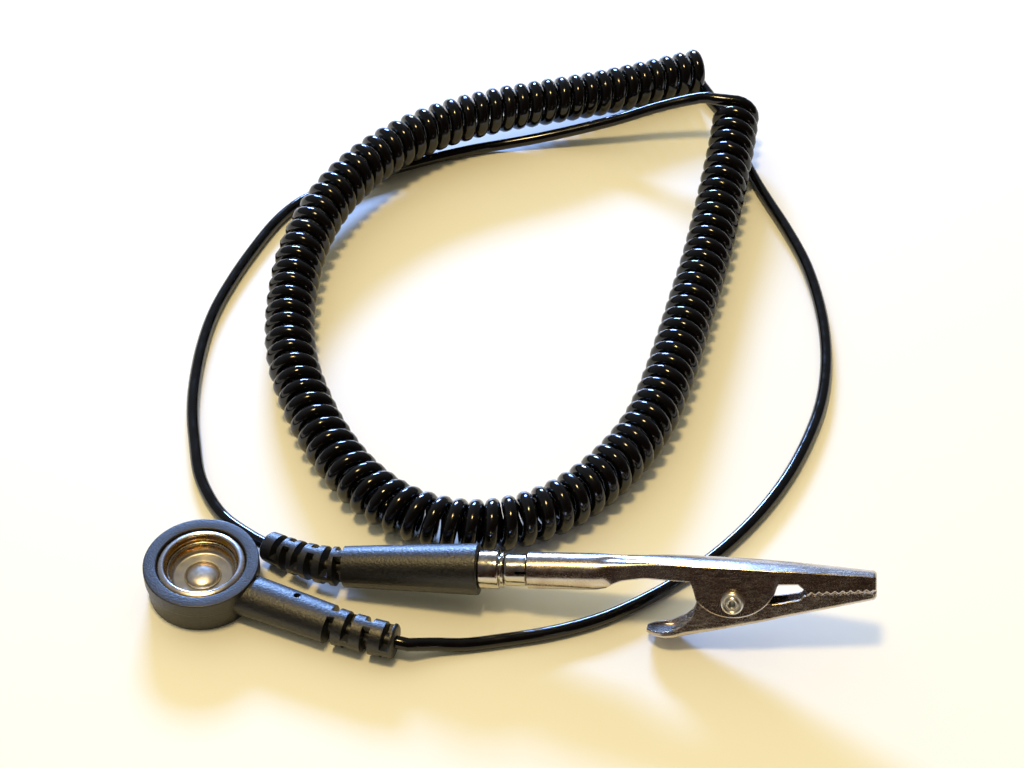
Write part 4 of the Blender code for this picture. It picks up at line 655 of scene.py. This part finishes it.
def pierced(outer, inner, keep, around=False):
    """Faces of a bent sheet, from grids of its two skins: each kept cell's outer and inner face, and a rim
    between the skins wherever a kept cell has no kept neighbour."""
    rows, count = outer.shape[:2]
    under = rows * count
    i = np.arange(rows - 1)[:, None] * count
    j = np.arange(count if around else count - 1)[None, :]
    ahead = (j + 1) % count
    a, b, c, d = i + j, i + ahead, i + count + ahead, i + count + j
    wide = np.pad(keep, 1)
    if around:
        wide[1:-1, 0], wide[1:-1, -1] = keep[:, -1], keep[:, 0]
    low, high = keep & ~wide[:-2, 1:-1], keep & ~wide[2:, 1:-1]
    left, right = keep & ~wide[1:-1, :-2], keep & ~wide[1:-1, 2:]
    quads = np.vstack(
        [
            np.stack([a, b, c, d], -1)[keep],
            np.stack([d, c, b, a], -1)[keep] + under,
            np.stack([b, a, a + under, b + under], -1)[low],
            np.stack([d, c, c + under, d + under], -1)[high],
            np.stack([a, d, d + under, a + under], -1)[left],
            np.stack([c, b, b + under, c + under], -1)[right],
        ]
    )
    used, quads = np.unique(quads, return_inverse=True)
    points = np.vstack([outer.reshape(-1, 3), inner.reshape(-1, 3)])[used]
    return points, quads.reshape(-1, 4), np.empty((0, 3), int)


CAGE_START, COLLAR_END, CAGE_END = 24.2, 27.4, 39.0  # mm from the back of the grip
COLLAR_RADIUS, LEAF_RADIUS, LEAF_BULGE, CAGE_SHEET = 2.35, 1.55, 0.35, 0.25  # mm
CAGE_STEPS = 160  # stations round the cage
SLIT_HALF, FIRST_SLIT = 0.225, 82  # mm, and degrees round from the top of the clip
cage_at = [np.linspace(CAGE_START, COLLAR_END, 17), np.linspace(COLLAR_END, CAGE_END, 60)]
cage_at = np.unique(np.concatenate(cage_at))
# The collar necks down to the leaves, whose radius is 1.55 + 0.35 (sin of pi times their share) ** 0.8
leaf_share = np.clip((cage_at - COLLAR_END - 0.4) / (CAGE_END - COLLAR_END - 0.9), 0, 1)
leaf_radius = LEAF_RADIUS + LEAF_BULGE * np.sin(math.pi * leaf_share) ** 0.8
neck = np.clip((cage_at - COLLAR_END + 0.2) / 0.6, 0, 1)
neck = neck**2 * (3 - 2 * neck)
cage_radius = COLLAR_RADIUS + (leaf_radius - COLLAR_RADIUS) * neck
cage_radius -= 0.12 * np.clip(1 - (cage_at - CAGE_START) / 0.2, 0, 1) ** 2
cage_outer, cage_inner = (
    turned(np.column_stack([radius, cage_at]) * MM, plug_start, clip_up, clip_near, plug_along, CAGE_STEPS)
    for radius in (cage_radius, cage_radius - CAGE_SHEET)
)
cell_at = (cage_at[:-1] + cage_at[1:])[:, None] / 2
cell_turn = np.degrees(2 * math.pi / CAGE_STEPS * (np.arange(CAGE_STEPS) + 0.5))[None, :]
off_slit = np.abs((cell_turn - FIRST_SLIT + 45) % 90 - 45)
in_slit = off_slit < np.degrees(SLIT_HALF / cage_radius[:-1, None])
in_slit = in_slit & (cell_at > COLLAR_END - 1.6) & (cell_at < CAGE_END - 0.6)
cage_sheet = pierced(cage_outer, cage_inner, ~in_slit, around=True)
cage = build("spring_cage_sheet", [cage_sheet], bright_nickel)
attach(cage, "spring_cage")
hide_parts("plug_spring_cage")


# ---------------------------------------------------------------- Upper jaw of the clip
# Half-millimetre steel pressed and bent in one piece, then nickel plated: a barrel rolled round the plug,
# a channel that widens into two ears round the rivet, and a long toothed nose.

SHEET = 0.5 * MM
TEETH_START = 40.0 * MM
TOOTH_PITCH = 1.1 * MM
TOOTH_DEPTH = 0.4 * MM
BITE_HALF = 0.15 * MM  # from the bite line to the middle of either jaw's teeth
BARREL_RADIUS, BARREL_END = 2.65, 9.6  # mm
EAR_RADIUS, EAR_CENTRE = 6.6 * MM, 0.95 * MM
EAR_HALF = 6.0 * MM  # of the ear's width where it meets the straight edge
RIVET_HOLE = 1.2 * MM
PIVOT = 29.5 * MM  # from the back of the clip to the rivet, which lies 3.2 mm below the plug's axis
clip_start = plug_start + plug_along * 27.55 * MM
pivot_point = clip_start + plug_along * PIVOT - clip_up * 3.2 * MM


def through(table, at, soft=0.0):
    """Value at each distance from a table of (distance, value) in mm, averaged over soft either side."""
    table = np.array(table) * MM
    shifts = np.linspace(-soft, soft, 9 if soft else 1)[:, None]
    return np.interp(at[None, :] + shifts, table[:, 0], table[:, 1]).mean(0)


def arch(half_width, top_line, edge, corner, lean, crown, lip):
    """Half of a channel's section at each station, as (up, out): over the lip of its free edge, up the
    cheek, out = w(1 - lean s), round a bend of the given radius at angle a, and in to the middle of the
    web, up = t - crown w m^2. s and a rise up the cheek and round the bend, and m falls to the middle."""
    w, t, e = half_width[:, None], top_line[:, None], edge[:, None]
    corner, upper_w = np.minimum(corner[:, None], 0.9 * w), (1 - lean) * w
    side = t - crown * w
    s = np.linspace(0, 1, 18)[None, :]
    a = np.linspace(0, math.pi / 2, 7)[None, 1:]
    m = np.linspace(1, 0, 7)[None, 1:]
    over_lip, up_cheek = (e, w - 0.75 * lip), (e + lip + (side - corner - e - lip) * s, w - lean * w * s)
    round_bend = side - corner + corner * np.sin(a), upper_w - corner + corner * np.cos(a)
    in_web = t - crown * w * m**2, (upper_w - corner) * m
    parts = zip(over_lip, up_cheek, round_bend, in_web, strict=True)
    return tuple(np.hstack(part) for part in parts)


def skin(up_part, out_part, at, origin):
    """A grid of points from half sections, mirrored: origin + up clip_up + out clip_near + at along."""
    ups = np.hstack([up_part, up_part[:, -2::-1]])
    outs = np.hstack([out_part, -out_part[:, -2::-1]])
    return origin + ups[..., None] * clip_up + outs[..., None] * clip_near + at[:, None, None] * plug_along


def teeth(at):
    """Saw-tooth wave of the tooth's depth about 0, one tooth to each pitch from the start of the teeth."""
    wave = 1 - np.abs(2 * ((at - TEETH_START) / TOOTH_PITCH % 1.0) - 1)
    return TOOTH_DEPTH * (wave - 0.5)


# Lines of the pressing, as (distance from the back of the clip, place) in mm
UPPER_TOP = [(0, BARREL_RADIUS), (BARREL_END, BARREL_RADIUS), (14, 2.5), (18, 2.5), (23, 2.42), (31, 2.1)]
UPPER_TOP += [(38.8, 1.65), (49.7, 0.68)]
UPPER_WIDTH = [(BARREL_END, BARREL_RADIUS), (17, 2.5), (23.5, 2.95), (35.5, 2.95), (49.7, 1.7)]
UPPER_EDGE = [(11.2, -1.6), (13.6, -0.6), (17, -0.15), (23.5, -0.4)]
UPPER_CORNER = [(0, 1.3), (12, 1.3), (20, 0.3), (40, 0.25), (49.7, 0.15)]
BITE_LINE = [(40, -2.15), (49.7, -1.75)]
WINDOW_TOP = -0.6 * MM
UPPER_LEAN, UPPER_CROWN = 0.15, 0.15  # shares of the half width


def upper_edge(at):
    """The cheek's free edge: a straight run, an arc round the ear, the window, and the teeth. Each goes
    over into the next along a share that rises from 0 to 1."""
    across = np.minimum(np.abs(at - PIVOT), EAR_RADIUS)
    ear = EAR_CENTRE - np.sqrt(EAR_RADIUS**2 - across**2)
    ear = np.where(at > PIVOT, np.minimum(ear, WINDOW_TOP), ear)
    straight = through(UPPER_EDGE, at, 0.5 * MM)
    in_corner = np.clip((at - (PIVOT - EAR_HALF)) / (0.8 * MM), 0, 1)
    front_corner = np.clip((at - (PIVOT + EAR_HALF)) / (0.8 * MM), 0, 1)
    toothed = through(BITE_LINE, at) + BITE_HALF + teeth(at)
    to_teeth = np.clip((at - (TEETH_START - 1.2 * MM)) / (1.3 * MM), 0, 1)
    edge = straight + (ear - straight) * in_corner
    edge = edge + (WINDOW_TOP - edge) * front_corner
    return edge + (toothed - edge) * to_teeth


def upper_skin(at, inset):
    """Skin of the upper jaw: a circle with a slit of 8 degrees below it at the barrel, which opens out into
    the channel over 2.8 mm. inset is 0 for the outer skin, or the sheet's thickness for the inner one."""
    half = arch(
        through(UPPER_WIDTH, at, 1 * MM) - inset,
        through(UPPER_TOP, at, 1 * MM) - inset,
        upper_edge(at),
        through(UPPER_CORNER, at, 1 * MM) + 0.2 * inset,
        lean=UPPER_LEAN,
        crown=UPPER_CROWN,
        lip=0.03 * MM if inset else 0.2 * MM,
    )
    a = np.linspace(math.pi - math.radians(4), 0, half[0].shape[1])[None, :]
    circle = BARREL_RADIUS * MM - inset
    opened = np.clip((at - BARREL_END * MM) / (2.8 * MM), 0, 1)[:, None]
    opened = opened**2 * (3 - 2 * opened)
    ups = circle * np.cos(a) * (1 - opened) + half[0] * opened
    outs = circle * np.sin(a) * (1 - opened) + half[1] * opened
    return skin(ups, outs, at, clip_start)


# Tumbled nickel over pressed steel: brownish grey with fine pits, and rolling marks along the sheet
tumbled_nickel, tree, shader = finish("tumbled_nickel_on_steel", "#a89e94", 0.24, 1.0)
spot = add(tree, "ShaderNodeTexCoord").outputs["Object"]
tarnish = add(tree, "ShaderNodeTexNoise", {"Vector": spot, "Scale": 1 / (2.6 * MM), "Detail": 5.0})
tone = add(tree, "ShaderNodeMapRange", {0: tarnish.outputs[0], 1: 0.3, 2: 0.7})
shades = {0: tone.outputs[0], 6: linear("#bfb2a8"), 7: linear("#dcd5cd")}
tint = add(tree, "ShaderNodeMix", shades, data_type="RGBA")
tree.links.new(tint.outputs[2], shader.inputs["Base Color"])
# The rolling marks are drawn out to eight times their width, along the clip
drawn_out = {0: spot, "Rotation": (0, 0, math.radians(6.7)), "Scale": (0.12, 1.0, 1.0)}
flat = add(tree, "ShaderNodeMapping", drawn_out)
marks = add(tree, "ShaderNodeTexNoise", {"Vector": flat.outputs[0], "Scale": 1 / (0.3 * MM), "Detail": 3.0})
pits = add(tree, "ShaderNodeTexNoise", {"Vector": spot, "Scale": 1 / (0.22 * MM), "Detail": 2.0})
rough = add(tree, "ShaderNodeMath", {0: marks.outputs[0], 1: pits.outputs[0]}, operation="ADD")
dull = add(tree, "ShaderNodeMapRange", {0: rough.outputs[0], 1: 0.7, 2: 1.3, 3: 0.16, 4: 0.32})
tree.links.new(dull.outputs[0], shader.inputs["Roughness"])
relief = add(tree, "ShaderNodeBump", {"Height": rough.outputs[0], "Strength": 0.18, "Distance": 0.012 * MM})
tree.links.new(relief.outputs[0], shader.inputs["Normal"])


def off_rivet(outer):
    """Where each cell's middle is further from the rivet's axis than the hole's radius."""
    from_pivot = (outer[:-1, :-1] + outer[1:, 1:]) / 2 - pivot_point
    return np.hypot(from_pivot @ plug_along, from_pivot @ clip_up) > RIVET_HOLE


# Stations along the clip, close together at the ear's corners and at the teeth
toothed_at = np.linspace(40, 49.2, 69)
upper_at = [np.linspace(0, 23.4, 110), np.linspace(23.5, 24.3, 7), np.linspace(24.5, 35.4, 56)]
upper_at += [np.linspace(35.5, 36.3, 6), np.linspace(36.5, 39.9, 16), toothed_at]
upper_at = np.concatenate(upper_at) * MM
outer, inner = upper_skin(upper_at, 0.0), upper_skin(upper_at, SHEET)
jaw_sheet = pierced(outer, inner, off_rivet(outer))

# The nose's end wall, rounded over its last half millimetre
nose_at = np.array([49.15, 49.35, 49.57, 49.7]) * MM
nose_in = np.array([0, 0.03, 0.16, 0.36]) * MM
nose_half = arch(
    through(UPPER_WIDTH, nose_at, 1 * MM) - nose_in,
    through(UPPER_TOP, nose_at) - nose_in,
    through(BITE_LINE, nose_at) + BITE_HALF,
    np.full(4, 0.15 * MM),
    lean=UPPER_LEAN,
    crown=UPPER_CROWN,
    lip=0.15 * MM,
)
nose = shell(skin(*nose_half, nose_at, clip_start))


def softened(piece, width):
    """A small round on every sharp edge, as tumbling leaves it."""
    edge = piece.modifiers.new("tumbled_edges", "BEVEL")
    edge.width = width
    edge.segments = 2
    edge.limit_method = "ANGLE"
    edge.angle_limit = math.radians(50)
    return piece


upper_jaw = softened(build("upper_jaw_pressing", [jaw_sheet, nose], tumbled_nickel, 40), 0.06 * MM)
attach(upper_jaw, "clip_body")
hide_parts("clip_upper_jaw")


# ---------------------------------------------------------------- Lower jaw of the clip
# The same sheet, bent the other way up to swing between the ears: a toothed channel in front of the
# rivet, and behind it a dished thumb lever with a rounded end.

LOWER_FLOOR = [(17, -8.75), (18.5, -9.05), (20.5, -9.1), (22.5, -8.8), (25, -8.3), (49.7, -3.0)]
LOWER_EDGE = [(17, -8.15), (18.5, -8.2), (20.5, -8.0), (22.5, -7.0), (23.8, -5.8), (24.6, -2.9), (28.3, -1.3)]
LOWER_EDGE += [(30.7, -1.3), (34.4, -3.85), (36.1, -3.65), (38.9, -3.15), (39.6, -2.7)]
LOWER_WIDTH = [(17, 0.8), (17.5, 1.6), (18.2, 2.15), (19.2, 2.6), (20.8, 2.75), (23, 2.45), (24.6, 2.3)]
LOWER_WIDTH += [(33.5, 2.3), (37, 1.95), (40, 1.9), (49.7, 1.4)]
LOWER_CORNER = [(17, 0.25), (18.5, 0.36), (20.5, 0.5), (22.5, 0.8), (23.8, 0.7), (27, 0.5), (49.7, 0.45)]


def lower_skin(at, inset):
    """Skin of the lower jaw: the channel turned over, with its floor below and its free edges above."""
    toothed = through(BITE_LINE, at) - BITE_HALF + teeth(at)
    to_teeth = np.clip((at - (TEETH_START - 0.8 * MM)) / (0.8 * MM), 0, 1)
    edge = through(LOWER_EDGE, at, 0.25 * MM)
    edge = edge + (toothed - edge) * to_teeth
    ups, outs = arch(
        through(LOWER_WIDTH, at, 0.3 * MM) - inset,
        -through(LOWER_FLOOR, at, 0.8 * MM) - inset,
        -edge,
        np.maximum(through(LOWER_CORNER, at, 0.3 * MM) - 0.6 * inset, 0.1 * MM),
        lean=0.0,
        crown=0.0,
        lip=0.03 * MM if inset else 0.16 * MM,
    )
    return skin(-ups, outs, at, clip_start)


lower_at = np.concatenate([np.linspace(17, 19.2, 24), np.linspace(19.3, 39.9, 104), toothed_at]) * MM
outer, inner = lower_skin(lower_at, 0.0), lower_skin(lower_at, SHEET)
jaw_sheet = pierced(outer, inner, off_rivet(outer))
ups, outs = arch(
    through(LOWER_WIDTH, nose_at, 0.3 * MM) - nose_in,
    -through(LOWER_FLOOR, nose_at, 0.8 * MM) - nose_in,
    BITE_HALF - through(BITE_LINE, nose_at),
    np.full(4, 0.45 * MM),
    lean=0.0,
    crown=0.0,
    lip=0.15 * MM,
)
nose = shell(skin(-ups, outs, nose_at, clip_start))
lower_jaw = softened(build("lower_jaw_pressing", [jaw_sheet, nose], tumbled_nickel, 40), 0.06 * MM)
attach(lower_jaw, "lower_jaw")
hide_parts("clip_lower_jaw")


# ---------------------------------------------------------------- Rivet and spring of the clip
# A tubular rivet, rolled over at both ends, is the jaws' axle. Round it sit 2.4 turns of spring wire, one
# leg under the upper web and the other on the lever, which hold the jaws shut.

# One rolled end, as (radius, distance from the clip's middle) in mm, from the bore out to the shank
rolled_end = [(0.42, 3.5), (0.5, 3.8), (0.75, 3.9), (1.0, 3.65), (1.15, 3.65)]
rolled_end += [(1.35, 3.9), (1.6, 3.7), (1.7, 3.1), (1.0, 3.1)]
rivet_loop = rolled_end + [(radius, -height) for radius, height in rolled_end[::-1]]
rivet_loop = rounded(np.array(rivet_loop) * MM, 0.12 * MM)
rivet_rings = turned(rivet_loop, pivot_point, clip_up, plug_along, clip_near, 96)
clip_rivet = build("tubular_rivet", [shell(rivet_rings, "joined")], pressed_nickel)
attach(clip_rivet, "clip_body")
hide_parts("clip_rivet")

# Wire from the upper leg's end to the lower leg's, as (up, out, along) from the rivet in mm. The turns are
# radius cos a, pitch times the turn, radius sin a.
SPRING_RADIUS, SPRING_PITCH, SPRING_TURNS, WIRE_RADIUS = 1.75, 0.95, 2.4, 0.25  # mm and turns
spring_side = SPRING_PITCH * SPRING_TURNS / 2
spring_turns = np.linspace(0, SPRING_TURNS, 58)
wind = math.radians(15.5) + 2 * math.pi * spring_turns
spring_across = SPRING_PITCH * spring_turns - spring_side
spring_coil = np.column_stack([SPRING_RADIUS * np.cos(wind), spring_across, SPRING_RADIUS * np.sin(wind)])
upper_leg = [(3.75, -spring_side, -7.2), (2.7, -spring_side, -3.3)]
lower_leg = [(-3.1, spring_side, -4.3), (-4.9, spring_side, -8.8)]
spring_points = np.vstack([upper_leg, spring_coil, lower_leg])
spring_points = smooth_route(spring_points * MM, 0.22 * MM)
spring_line = pivot_point + spring_points @ np.array([clip_up, clip_near, plug_along])
spring_out = np.tile(clip_near, (len(spring_line), 1))
spring_wire = shell(tube(spring_line, spring_out, WIRE_RADIUS * MM, 12))
clip_spring = build("jaw_spring", [spring_wire], drawn_steel, 60)
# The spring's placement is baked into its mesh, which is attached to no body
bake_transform(clip_spring)
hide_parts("clip_spring")
